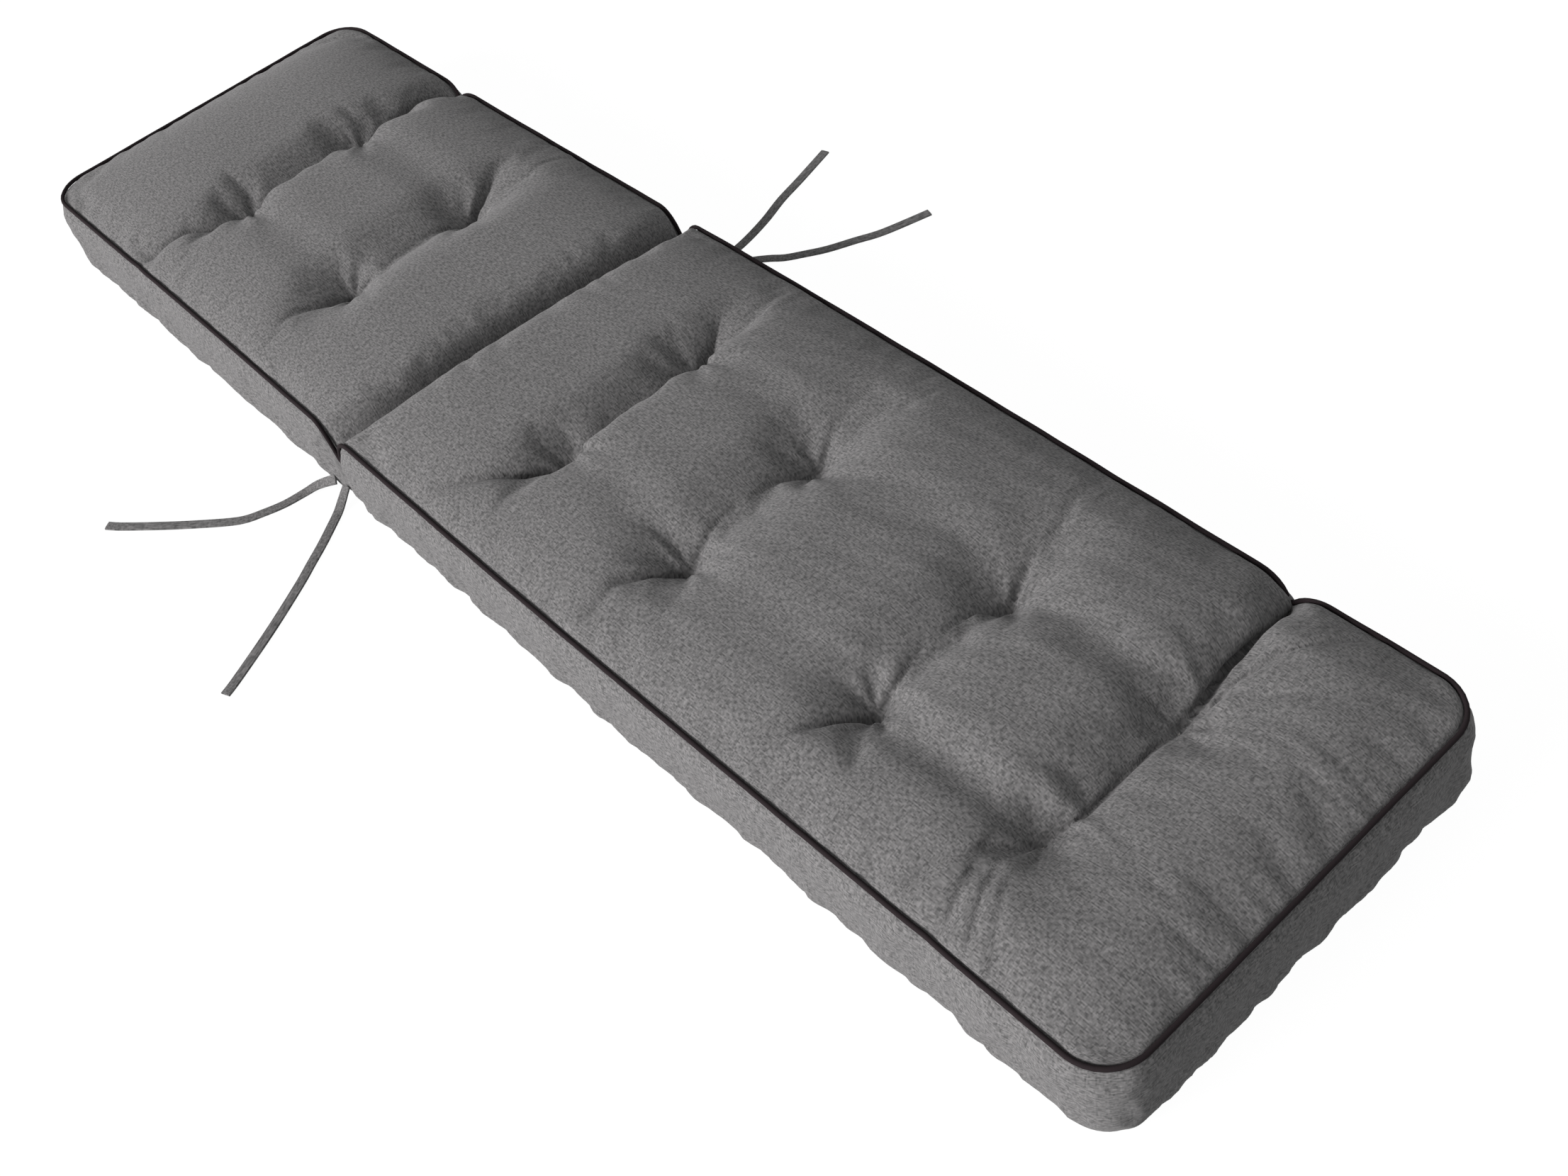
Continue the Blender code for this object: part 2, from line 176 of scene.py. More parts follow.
# %% Tie routes
TIE_ON_GROUND = 0.0016
TIE_ROUTES = {
    "tie_near_head": (
        (-0.2345, -0.2633, 0.0200, -50),
        (-0.2460, -0.2705, 0.0150, -40),
        (-0.2590, -0.2810, 0.0080, -20),
        (-0.2660, -0.2960, 0.0030, -5),
        (-0.2710, -0.3220),
        (-0.2790, -0.3470),
        (-0.2890, -0.3700),
        (-0.3090, -0.3930),
        (-0.3530, -0.4350),
        (-0.4000, -0.4760),
        (-0.4190, -0.4900),
    ),
    "tie_near_foot": (
        (-0.2170, -0.2603, 0.0180, 10),
        (-0.2150, -0.2660, 0.0140, 5),
        (-0.2110, -0.2760, 0.0070, 0),
        (-0.2050, -0.2870, 0.0020, 0),
        (-0.1930, -0.3040),
        (-0.1770, -0.3270),
        (-0.1600, -0.3540),
        (-0.1430, -0.3810),
        (-0.1100, -0.4400),
        (-0.0790, -0.5020),
        (-0.0700, -0.5230),
    ),
    "tie_far_head": (
        (-0.1860, 0.2603, 0.0180, 10),
        (-0.1850, 0.2680, 0.0140, 5),
        (-0.1840, 0.2770, 0.0060, 0),
        (-0.1830, 0.2960),
        (-0.1850, 0.3260),
        (-0.1900, 0.3560),
        (-0.2000, 0.3940),
        (-0.2140, 0.4340),
        (-0.2250, 0.4770),
        (-0.2430, 0.5420),
    ),
    "tie_far_foot": (
        (-0.1700, 0.2604, 0.0180, -10),
        (-0.1690, 0.2690, 0.0140, -5),
        (-0.1670, 0.2800, 0.0060, 0),
        (-0.1620, 0.3010),
        (-0.1530, 0.3240),
        (-0.1370, 0.3420),
        (-0.1210, 0.3560),
        (-0.1060, 0.3760),
        (-0.0890, 0.4010),
        (-0.0720, 0.4350),
        (-0.0550, 0.4690),
        (-0.0350, 0.5330),
    ),
}

# %% [markdown]
# The table's points are few, so the tape runs through them on a smooth curve, cut
# into short steps.

# %% Curve through the table's points
TIE_STEPS_PER_POINT = 6


def smooth_through(values, share):
    """A smooth curve through four values, between the second and the third."""
    before, start, end, after = values
    return 0.5 * (
        2 * start
        + (end - before) * share
        + (2 * before - 5 * start + 4 * end - after) * share ** 2
        + (3 * start - before - 3 * end + after) * share ** 3
    )


def tape_route(rows):
    """Places and twists along a tape, on a smooth curve through the table's rows."""
    rows = [row if len(row) == 4 else (*row, TIE_ON_GROUND, 0) for row in rows]
    places = [Vector(row[:3]) for row in rows]
    twists = [math.radians(row[3]) for row in rows]
    route = []
    last = len(rows) - 1
    for index in range(last):
        picks = [max(index - 1, 0), index, index + 1, min(index + 2, last)]
        for step in range(TIE_STEPS_PER_POINT):
            share = step / TIE_STEPS_PER_POINT
            middle = smooth_through([places[pick] for pick in picks], share)
            twist = smooth_through([twists[pick] for pick in picks], share)
            route.append((middle, twist))
    route.append((places[-1], twists[-1]))
    return route


# %% [markdown]
# A grid primitive is a flat strip of cells. Each row of its points is carried to
# its place on the route, and a shallow groove is pressed in along both edges, where
# the tape is stitched. The widths of the stitching are shares of half the tape.

# %% Lay a tape along its route
TIE_CELLS_ACROSS = 8
STITCH_GROOVE = 0.0003
STITCH_FROM_EDGE = 0.25
STITCH_HALF_WIDTH = 0.05
STITCH_STARTS = 3


def tape_frame(route, station):
    """The tape's middle at one step of the route, and its ways sideways and up."""
    middle, twist = route[station]
    ahead = route[min(station + 1, len(route) - 1)][0]
    behind = route[max(station - 1, 0)][0]
    along = (ahead - behind).normalized()
    flat_side = Vector((-along.y, along.x, 0)).normalized()
    flat_up = along.cross(flat_side)
    side = flat_side * math.cos(twist) + flat_up * math.sin(twist)
    return middle, side, along.cross(side)


def lay_tape(tie, route):
    """Carry a flat strip to its route, map the weave on it, and give its length."""
    last = len(route) - 1
    length = sum((after[0] - before[0]).length for before, after in zip(route, route[1:]))
    tape_map = {}
    for point in tie.data.vertices:
        station = round((point.co.x + 1) / 2 * last)
        across = point.co.y
        middle, side, up = tape_frame(route, station)
        stitched = abs(abs(across) - (1 - STITCH_FROM_EDGE)) < STITCH_HALF_WIDTH
        press = -STITCH_GROOVE if stitched and station >= STITCH_STARTS else 0.0
        point.co = middle + side * (across * TIE_WIDTH / 2) + up * press
        tape_map[point.index] = (station / last * length, across * TIE_WIDTH / 2)
    layer = tie.data.uv_layers.active or tie.data.uv_layers.new(name="weave")
    layer.name = "weave"
    for loop in tie.data.loops:
        layer.data[loop.index].uv = tape_map[loop.vertex_index]
    return length


# %% [markdown]
# Solidify gives the two layers of cloth their thickness, and a small Bevel rounds
# the folded edges.

# %% Model the ties
TIE_EDGE_ROUND = 0.0006
TIE_SHARP_ANGLE = math.radians(50)


def model_tie(name, rows):
    route = tape_route(rows)
    deselect_all()
    bpy.ops.mesh.primitive_grid_add(
        x_subdivisions=len(route) - 1, y_subdivisions=TIE_CELLS_ACROSS, size=2
    )
    tie = bpy.context.object
    tie.name = name + "_tape"
    length = lay_tape(tie, route)
    select_only(tie)
    bpy.ops.object.modifier_add(type="SOLIDIFY")
    tie.modifiers["Solidify"].thickness = TIE_THICKNESS
    tie.modifiers["Solidify"].offset = 0
    bpy.ops.object.modifier_apply(modifier="Solidify")
    bpy.ops.object.modifier_add(type="BEVEL")
    tie.modifiers["Bevel"].width = TIE_EDGE_ROUND
    tie.modifiers["Bevel"].segments = 2
    bpy.ops.object.modifier_apply(modifier="Bevel")
    bpy.ops.object.shade_smooth_by_angle(angle=TIE_SHARP_ANGLE)
    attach(tie, "root")
    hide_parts(name)
    print(name, "is", round(length, 3), "m long")
    return tie


ties = [model_tie(name, rows) for name, rows in TIE_ROUTES.items()]

# %% [markdown]
# ## The filled cloth
#
# The shape is a crowned block, pulled down where it is sewn. Three things pull:
# the fold line, which goes through from side to side; six rows of tufts, two to a
# row, with a trough between them; and the creases that run from the tufts to the
# edges, because the cloth has to go somewhere. Each is a short table.

# %% The fold line
FOLD_X = -0.1975
FOLD_SLANT = 0.07
FOLD_BELLY = 0.034
FOLD_SPREAD = 0.12
FOLD_HEIGHT = 0.030
FOLD_HEIGHT_INSIDE = 0.070
FOLD_REACH_AT_RIM = {"head": 0.036, "foot": 0.042}
FOLD_REACH_INSIDE = {"head": 0.020, "foot": 0.034}

# %% [markdown]
# The rows are lettered A to F from the head end. A row's lean says how far the
# fuller pillow hangs over the trough: minus is the pillow on the foot side. The
# bottom of a trough is sharp only under a pillow with a strong lean.

# %% Rows and tufts
# place along, trough depth, reach to the head, reach to the foot, and lean
ROW_COLUMNS = ("x", "trough", "head", "foot", "lean")
ROWS = [dict(zip(ROW_COLUMNS, row)) for row in (
    (-0.639, 0.025, 0.060, 0.055, -0.024),
    (-0.388, 0.019, 0.080, 0.070, -0.010),
    (0.064, 0.025, 0.060, 0.058, -0.024),
    (0.279, 0.017, 0.085, 0.075, -0.010),
    (0.556, 0.017, 0.085, 0.075, -0.010),
    (0.762, 0.026, 0.070, 0.140, 0.006),
)]
ROW_HALF_WIDTH = 0.185
STRONG_LEAN = 0.012

# place along, place across
TUFTS = {
    "A near": (-0.636, -0.101), "A far": (-0.638, 0.074),
    "B near": (-0.390, -0.101), "B far": (-0.386, 0.076),
    "C near": (0.064, -0.104), "C far": (0.064, 0.077),
    "D near": (0.278, -0.117), "D far": (0.279, 0.059),
    "E near": (0.553, -0.117), "E far": (0.558, 0.056),
    "F near": (0.757, -0.115), "F far": (0.766, 0.055),
}

# height of the stitches, reach of the pinch round them, how blunt its bottom is as a
# share of that reach, and how far round a tuft the cloth can't be pushed
TUFT_HEIGHT = 0.098
TUFT_REACH = 0.055
TUFT_CORE = 0.12
TUFT_STILL = 0.045
print("rows:", len(ROWS), "tufts:", len(TUFTS))

# %% [markdown]
# Where a row's cloth runs over the edge, the rim dips and is drawn in: far in at
# two places of the far side, and hardly at all on the near side.

# %% Notches in the long sides
# side, place along, depth, pull inwards, reach
NOTCH_COLUMNS = ("side", "x", "depth", "drawn_in", "reach")
NOTCHES = [dict(zip(NOTCH_COLUMNS, row)) for row in (
    (1, -0.655, 0.022, 0.009, 0.040),
    (1, 0.744, 0.028, 0.012, 0.044),
    (-1, -0.695, 0.005, 0.004, 0.035),
    (-1, 0.745, 0.004, 0.003, 0.050),
)]
NOTCH_FADE = 0.060

# %% [markdown]
# A crease is a line of a few places, with a depth at its start and one at its end.
# Lean says which side is the fuller one and hangs over the line: minus is the foot
# side, plus the head side. A crease without a lean is a slack trough. A line that
# starts or ends at a tuft names it.

# %% Creases
# line, depth at the start, depth at the end, reach, lean
CREASE_COLUMNS = ("line", "depth", "end_depth", "reach", "lean")
CREASES = [dict(zip(CREASE_COLUMNS, row)) for row in (
    (((-0.655, 0.249), (-0.662, 0.210), (-0.655, 0.150), "A far"), 0.020, 0.018, 0.032, -0.006),
    (((-0.665, 0.171), (-0.690, 0.206)), 0.006, 0.001, 0.016, -0.002),
    (("A near", (-0.646, -0.135), (-0.670, -0.175), (-0.688, -0.236)), 0.018, 0.012, 0.028, -0.006),
    (((-0.713, -0.236), (-0.735, -0.214)), 0.005, 0.001, 0.016, -0.002),
    (("A far", (-0.600, 0.086), (-0.510, 0.086), "B far"), 0.004, 0.004, 0.050, 0),
    (("A near", (-0.600, -0.098), (-0.510, -0.100), "B near"), 0.004, 0.004, 0.050, 0),
    (("B far", (-0.405, 0.115), (-0.430, 0.160)), 0.020, 0.002, 0.024, -0.006),
    (("B far", (-0.392, 0.040), (-0.398, -0.004)), 0.006, 0.001, 0.024, -0.004),
    (("B near", (-0.395, -0.134), (-0.404, -0.168)), 0.022, 0.001, 0.022, -0.008),
    (("C far", (0.050, 0.112), (0.028, 0.148)), 0.022, 0.002, 0.024, -0.007),
    (("C near", (0.044, -0.145), (0.010, -0.192), (-0.020, -0.228)), 0.027, 0.003, 0.021, -0.008),
    (("D far", (0.268, 0.020), (0.268, -0.018)), 0.014, 0.002, 0.026, -0.006),
    (("D far", (0.270, 0.085), (0.256, 0.112)), 0.012, 0.001, 0.026, -0.003),
    (("D near", (0.263, -0.149), (0.246, -0.185)), 0.027, 0.002, 0.021, -0.008),
    (("D near", (0.266, -0.062), (0.264, -0.024)), 0.010, 0.001, 0.024, -0.004),
    (("D near", (0.207, -0.113), (0.133, -0.096), "C near"), 0.007, 0.002, 0.050, 0),
    (("D far", (0.207, 0.080), (0.133, 0.085), "C far"), 0.006, 0.002, 0.050, 0),
    (("E far", (0.545, 0.026), (0.543, -0.013)), 0.014, 0.002, 0.026, -0.006),
    (("E far", (0.551, 0.085), (0.538, 0.115)), 0.013, 0.001, 0.026, -0.003),
    (("E near", (0.538, -0.149), (0.520, -0.185)), 0.027, 0.002, 0.021, -0.008),
    (("E near", (0.548, -0.074), (0.540, -0.034)), 0.010, 0.001, 0.024, -0.004),
    (("E near", (0.473, -0.119), (0.353, -0.119), "D near"), 0.004, 0.004, 0.055, 0),
    (("E far", (0.473, 0.068), (0.353, 0.068), "D far"), 0.004, 0.004, 0.055, 0),
    (("E near", (0.622, -0.122), (0.693, -0.120), "F near"), 0.008, 0.008, 0.045, 0),
    (("E far", (0.632, 0.066), (0.703, 0.065), "F far"), 0.006, 0.006, 0.048, 0),
    (((0.744, 0.249), (0.751, 0.195), (0.752, 0.135), "F far"), 0.030, 0.016, 0.034, 0.010),
    (("F near", (0.766, -0.071), (0.764, -0.014), "F far"), 0.014, 0.010, 0.030, 0.005),
    (("F near", (0.742, -0.143), (0.728, -0.172)), 0.016, 0.004, 0.026, -0.004),
    (((0.730, -0.166), (0.716, -0.190), (0.706, -0.226)), 0.003, 0.004, 0.018, -0.002),
    (((0.738, -0.165), (0.744, -0.200), (0.756, -0.236)), 0.001, 0.004, 0.014, 0.001),
    (((0.752, -0.160), (0.764, -0.196), (0.782, -0.234)), 0.001, 0.004, 0.014, 0.001),
    (((0.770, -0.168), (0.786, -0.198), (0.808, -0.232)), 0.001, 0.003, 0.012, 0.001),
    (((0.769, 0.079), (0.774, 0.123), (0.790, 0.170), (0.832, 0.236)), 0.010, 0.005, 0.014, 0.003),
    (((0.764, 0.120), (0.770, 0.160), (0.786, 0.212)), 0.006, 0.003, 0.011, 0.002),
    (((0.785, 0.072), (0.806, 0.118), (0.850, 0.165)), 0.007, 0.001, 0.012, 0.002),
)]
for crease in CREASES:
    crease["line"] = [TUFTS.get(place, place) for place in crease["line"]]
print("creases:", len(CREASES))


# %% [markdown]
# How deep a crease is at any place depends on the distance from its line and on
# the share along it. Where creases meet, the deepest one counts.

# %% Depth of the creases
def along_line(x, y, line):
    """Distance of every place from a line of places, and the share along the line."""
    lengths = [math.dist(a, b) for a, b in zip(line, line[1:])]
    total = sum(lengths)
    nearest = np.full(x.shape, np.inf)
    share = np.zeros(x.shape)
    done = 0.0
    for (x0, y0), (x1, y1), length in zip(line, line[1:], lengths):
        t = ((x - x0) * (x1 - x0) + (y - y0) * (y1 - y0)) / length ** 2
        t = np.clip(t, 0, 1)
        distance = np.hypot(x - x0 - t * (x1 - x0), y - y0 - t * (y1 - y0))
        closer = distance < nearest
        nearest = np.where(closer, distance, nearest)
        share = np.where(closer, (done + t * length) / total, share)
        done += length
    return nearest, share


def crease_depth(x, y):
    """Depth of the deepest crease at every place."""
    deepest = np.zeros(x.shape)
    for crease in CREASES:
        distance, share = along_line(x, y, crease["line"])
        depth = crease["depth"] + (crease["end_depth"] - crease["depth"]) * share
        curve = pillow_curve if crease["lean"] else raised_cosine
        deepest = np.maximum(deepest, depth * curve(distance / crease["reach"]))
    return deepest


# %% [markdown]
# ## From a flat block to the sewn shape
#
# The functions below say how strongly the sewing pulls at any place. They work on
# whole arrays of places at once. Most are 1 where the cloth is sewn down and 0 out
# of reach.

# %% How strongly the sewing pulls
RIM_STEEPNESS = 5
ROW_STEEPNESS = 3
NOTCH_CORE = 0.05


def away_from_rim(y):
    """0 at the long sides, rising quickly to 1 in the middle."""
    return 1 - np.minimum(np.abs(y) / HALF_WIDTH, 1.0) ** RIM_STEEPNESS


def fold_pull(x, y):
    """1 on the fold line's stitching, 0 out of its reach."""
    to_foot = x > FOLD_X
    at_rim = np.where(to_foot, FOLD_REACH_AT_RIM["foot"], FOLD_REACH_AT_RIM["head"])
    in_middle = np.where(to_foot, FOLD_REACH_INSIDE["foot"], FOLD_REACH_INSIDE["head"])
    return pillow_curve((x - FOLD_X) / (at_rim + (in_middle - at_rim) * away_from_rim(y)))


def notch_sum(x, side, key):
    """One of the notches' sizes, depth or drawn_in, along one long side."""
    return sum(
        notch[key] * pillow_curve(NOTCH_CORE + np.abs(x - notch["x"]) / notch["reach"])
        for notch in NOTCHES
        if notch["side"] == side
    )


def side_notches(x, y, key):
    """The notch value of whichever long side a place is nearer to."""
    return np.where(y > 0, notch_sum(x, 1, key), notch_sum(x, -1, key))


def row_share(y):
    """How strongly a row is sewn down: fully between its tufts, not at the sides."""
    return np.maximum(1 - (np.abs(y) / ROW_HALF_WIDTH) ** ROW_STEEPNESS, 0)


def from_tuft(x, y):
    """Distance to the nearest tuft."""
    spans = [np.hypot(x - tuft_x, y - tuft_y) for tuft_x, tuft_y in TUFTS.values()]
    return np.min(spans, axis=0)


def at_tuft(x, y):
    """1 at a tuft, 0 from TUFT_STILL away: the cloth that the tuft holds still."""
    return raised_cosine(from_tuft(x, y) / TUFT_STILL)


def tuft_pull(x, y):
    """1 at a tuft, falling off fast, as where round pillows meet at a point."""
    return pillow_curve(TUFT_CORE + from_tuft(x, y) / TUFT_REACH) / pillow_curve(TUFT_CORE)


# %% [markdown]
# The top is a crown, nearly flat in the middle and round towards the rim. The
# notches, the troughs and the creases are taken off it. At the tufts and at the
# fold line it is drawn to the height of their stitches.

# %% Height of the top
CROWN_STEEPNESS = 3.2
TROUGHS_START = 0.25


def crown_share(x, y):
    """0 at the rim, 1 where the crown is full."""
    across = 1 - np.minimum(np.abs(y) / HALF_WIDTH, 1.0) ** CROWN_STEEPNESS
    from_end = np.maximum(HALF_LENGTH - np.abs(x), 0) / HALF_WIDTH
    along = 1 - np.maximum(1 - from_end, 0) ** CROWN_STEEPNESS
    return across * along


def row_depth(x, y):
    """Depth of the rows' troughs at every place."""
    total = np.zeros(x.shape)
    for sewn in ROWS:
        from_row = x - sewn["x"]
        share = from_row / np.where(from_row > 0, sewn["foot"], sewn["head"])
        hung_over = (from_row * sewn["lean"] < 0) & (abs(sewn["lean"]) > STRONG_LEAN)
        curve = np.where(hung_over, pillow_curve(share), raised_cosine(share))
        total += sewn["trough"] * row_share(y) * curve
    return total


def top_height(x, y):
    crown = crown_share(x, y)
    inside = np.minimum(crown / TROUGHS_START, 1.0)
    height = RIM_HEIGHT + CROWN * crown
    for side in (-1, 1):
        height -= notch_sum(x, side, "depth") * np.exp(-(HALF_WIDTH - side * y) / NOTCH_FADE)
    height -= (row_depth(x, y) + crease_depth(x, y)) * inside
    pinch = tuft_pull(x, y)
    height = height * (1 - pinch) + TUFT_HEIGHT * pinch
    pull = fold_pull(x, y)
    bottom = FOLD_HEIGHT + (FOLD_HEIGHT_INSIDE - FOLD_HEIGHT) * away_from_rim(y)
    return height * (1 - pull) + bottom * pull


# %% [markdown]
# Seen from above, the block has round corners and slightly bowed sides that the
# notches draw in. The fold line runs a little slanting and bellies towards the foot
# end, and beside each row the fuller pillow is pushed over the trough.

# %% The outline from above
def round_corners(x, y):
    """Places in the block's square corners, moved into round ones."""
    flat_x = HALF_LENGTH - CORNER_RADIUS
    flat_y = HALF_WIDTH - CORNER_RADIUS
    beyond_x = np.maximum(np.abs(x) - flat_x, 0) / CORNER_RADIUS
    beyond_y = np.maximum(np.abs(y) - flat_y, 0) / CORNER_RADIUS
    corner = (beyond_x > 0) & (beyond_y > 0)
    round_x = flat_x + CORNER_RADIUS * beyond_x * np.sqrt(1 - beyond_y ** 2 / 2)
    round_y = flat_y + CORNER_RADIUS * beyond_y * np.sqrt(1 - beyond_x ** 2 / 2)
    x = np.where(corner, np.copysign(round_x, x), x)
    y = np.where(corner, np.copysign(round_y, y), y)
    return x, y


def pushed_along(x, y):
    """How far the fold's belly and the leaning pillows shift every place along."""
    belly = FOLD_SLANT * y + FOLD_BELLY * away_from_rim(y)
    shift = belly * raised_cosine((x - FOLD_X) / FOLD_SPREAD)
    for sewn in ROWS:
        reach = sewn["foot"] if sewn["lean"] < 0 else -sewn["head"]
        shoulder = raised_cosine((x - sewn["x"] - 0.5 * reach) / (0.5 * reach))
        shift += sewn["lean"] * shoulder * row_share(y) * (1 - at_tuft(x, y))
    return shift


def plan_place(x, y):
    """A place on the square block, moved to where it lies on the sewn cushion."""
    x, y = round_corners(x, y)
    bow = SIDE_BOW * raised_cosine((x - BOW_CENTRE) / BOW_REACH)
    wide = (HALF_WIDTH + bow - side_notches(x, y, "drawn_in")) / HALF_WIDTH
    return x + pushed_along(x, y), y * wide


# %% [markdown]
# ## Block out the cloth with operators
#
# A grid primitive is the top panel. Its open edge is extruded again and again:
# twice round the piping's seat, then down the side band to the floor. At this
# stage each level is one unit below the last, which tells the shaping step what
# each point is. The underside waits until the cloth has been smoothed, because
# smoothing a single face with so many sides takes very long.

# %% Block out
CELLS_ALONG = 240
CELLS_ACROSS = 60
BAND_CELLS = 12
SEAT_LEVELS = 2
LEVELS = SEAT_LEVELS + BAND_CELLS

deselect_all()
bpy.ops.mesh.primitive_grid_add(x_subdivisions=CELLS_ALONG, y_subdivisions=CELLS_ACROSS, size=2)
cushion = bpy.context.object
cushion.name = "cushion_cloth"
bpy.ops.object.mode_set(mode="EDIT")
bpy.ops.mesh.select_mode(type="EDGE")
bpy.ops.mesh.select_all(action="DESELECT")
bpy.ops.mesh.select_non_manifold()
for level in range(LEVELS):
    bpy.ops.mesh.extrude_edges_move(TRANSFORM_OT_translate={"value": (0, 0, -1)})
bpy.ops.object.mode_set(mode="OBJECT")
print("blocked out:", len(cushion.data.vertices), "points,", len(cushion.data.polygons), "faces")


# %% [markdown]
# The grid's lines are crowded towards the rows, the tufts and the fold, where the
# cloth bends most. The density is 1 in the open and more near each sewn place,
# and the lines are spread so that each one takes an equal share of it.

# %% Where the columns and rows of points go
TUFT_LINES = (-0.092, 0.088)
FINE_PLACES = 4001


def crowded(cells, half, places, reach, gain):
    """Places from -half to half, closer together near the sewn places."""
    fine = np.linspace(-half, half, FINE_PLACES)
    density = np.ones(fine.shape)
    for place in places:
        density += gain * np.exp(-((fine - place) / reach) ** 2)
    total = np.concatenate(([0], np.cumsum((density[1:] + density[:-1]) / 2)))
    return np.interp(np.linspace(0, total[-1], cells + 1), total, fine)


SEWN_X = [sewn["x"] for sewn in ROWS] + [FOLD_X]
COLUMN_X = crowded(CELLS_ALONG, HALF_LENGTH, SEWN_X, reach=0.045, gain=1.3)
ROW_Y = crowded(CELLS_ACROSS, HALF_WIDTH, TUFT_LINES, reach=0.035, gain=0.7)
print("narrowest column:", round(float(np.diff(COLUMN_X).min()) * 1000, 1), "mm")

# %% [markdown]
# Extruding may leave the points and faces in another order on the next run. The
# simulation below adds up its forces in that order, and the smallest difference
# grows, so the mesh is rebuilt in one fixed order: by level, column and row.

# %% Put the points and faces in a fixed order
count = len(cushion.data.vertices)
flat = np.empty(count * 3)
cushion.data.vertices.foreach_get("co", flat)
flat = flat.reshape(-1, 3)
column = np.rint((flat[:, 0] + 1) / 2 * CELLS_ALONG).astype(int)
row = np.rint((flat[:, 1] + 1) / 2 * CELLS_ACROSS).astype(int)
level_of = np.rint(-flat[:, 2]).astype(int)

order = np.lexsort((row, column, level_of))
rank = np.argsort(order)
faces = []
for face in cushion.data.polygons:
    corners = rank[list(face.vertices)].tolist()
    first = corners.index(min(corners))
    faces.append(corners[first:] + corners[:first])
blocked_out = cushion.data
cushion.data = bpy.data.meshes.new("cushion_cloth")
cushion.data.from_pydata(flat[order].tolist(), [], sorted(faces))
bpy.data.meshes.remove(blocked_out)

column, row, level_of = column[order], row[order], level_of[order]
x_of = COLUMN_X[column]
y_of = ROW_Y[row]
print("put in order:", len(cushion.data.vertices), "points,", len(cushion.data.polygons), "faces")


# %% [markdown]
# The rim is a loop round the block: near side, foot end, far side, head end. At
# each of its places a small frame says which way is out and which way is up, and
# the piping's seat and the band are measured from it.

# %% The rim's loop
RIM_WAVE = 0.0010
RIM_WAVE_LONG = 0.055


def rim_loop():
    """Column and row of every place of the rim, in order."""
    last_column, last_row = CELLS_ALONG, CELLS_ACROSS
    loop = [(c, 0) for c in range(last_column + 1)]
    loop += [(last_column, r) for r in range(1, last_row + 1)]
    loop += [(c, last_row) for c in range(last_column - 1, -1, -1)]
    loop += [(0, r) for r in range(last_row - 1, 0, -1)]
    return loop


def smooth_noise(values, size, seed, rise=0.0):
    """Even noise in -1..1 along a list of places, one lump every size metres."""
    return np.array([noise.noise(Vector((v / size, rise, seed))) for v in values])


RIM = rim_loop()
rim_index = {place: index for index, place in enumerate(RIM)}
rim_x = COLUMN_X[[c for c, _ in RIM]]
rim_y = ROW_Y[[r for _, r in RIM]]
rim_plan = np.stack(plan_place(rim_x, rim_y), axis=1)
rim_pull = fold_pull(rim_x, rim_y)
rim_z = (RIM_HEIGHT - side_notches(rim_x, rim_y, "depth")) * (1 - rim_pull) + FOLD_HEIGHT * rim_pull
rim_steps = np.linalg.norm(np.roll(rim_plan, -1, axis=0) - rim_plan, axis=1)
rim_run = np.concatenate(([0], np.cumsum(rim_steps)[:-1]))
RIM_LENGTH = float(rim_steps.sum())

rim_z = rim_z + RIM_WAVE * smooth_noise(rim_run, RIM_WAVE_LONG, seed=3.1) * (1 - rim_pull)
rim_middle = np.column_stack((rim_plan, rim_z))
rim_along = np.roll(rim_middle, -1, axis=0) - np.roll(rim_middle, 1, axis=0)
rim_along /= np.linalg.norm(rim_along, axis=1)[:, None]
rim_out = np.column_stack((rim_along[:, 1], -rim_along[:, 0], np.zeros(len(RIM))))
rim_out /= np.linalg.norm(rim_out, axis=1)[:, None]
rim_up = np.cross(rim_out, rim_along)
print("rim:", len(RIM), "places,", round(RIM_LENGTH, 3), "m round")

# %% [markdown]
# The side band springs out under the piping, is fullest a little below the middle
# and turns under at the floor. The bottom seam gathers it, so it is puckered:
# slanting folds that are strongest low down, with smaller ones between. The rows
# and the fold line hold the bulge back.

# %% Shape of the side band
BAND_BULGE = 0.0102
BAND_FULLEST = 0.42
BAND_FOOT_SHARE = 0.44
BAND_PULL_AT_ROW = 0.12
BAND_PULL_AT_FOLD = 0.45
BAND_PULL_REACH = 0.070
PUCKER_DEPTH = 0.0036
PUCKER_SPACING = 0.030
SMALL_PUCKER_DEPTH = 0.0022
SMALL_PUCKER_SPACING = 0.012
PUCKER_CHANGE = 0.9
SMALL_PUCKER_CHANGE = 1.6
PUCKER_SLANT = 0.35
PUCKER_AT_TOP = 0.6
PUCKER_FADE = 8


def band_bulge(share):
    """How far out the band stands at a share of its height, 0 at the floor."""
    above = 1 - ((share - BAND_FULLEST) / (1 - BAND_FULLEST)) ** 4
    below = 1 - (1 - BAND_FOOT_SHARE) * ((BAND_FULLEST - share) / BAND_FULLEST) ** 3
    return BAND_BULGE * (above if share > BAND_FULLEST else below)


def band_hold(x):
    """How much of the bulge the sewing holds back: 0 nothing, 1 all of it."""
    hold = BAND_PULL_AT_FOLD * raised_cosine((x - FOLD_X) / BAND_PULL_REACH)
    for sewn in ROWS:
        hold = hold + BAND_PULL_AT_ROW * raised_cosine((x - sewn["x"]) / BAND_PULL_REACH)
    return np.minimum(hold, 1.0)


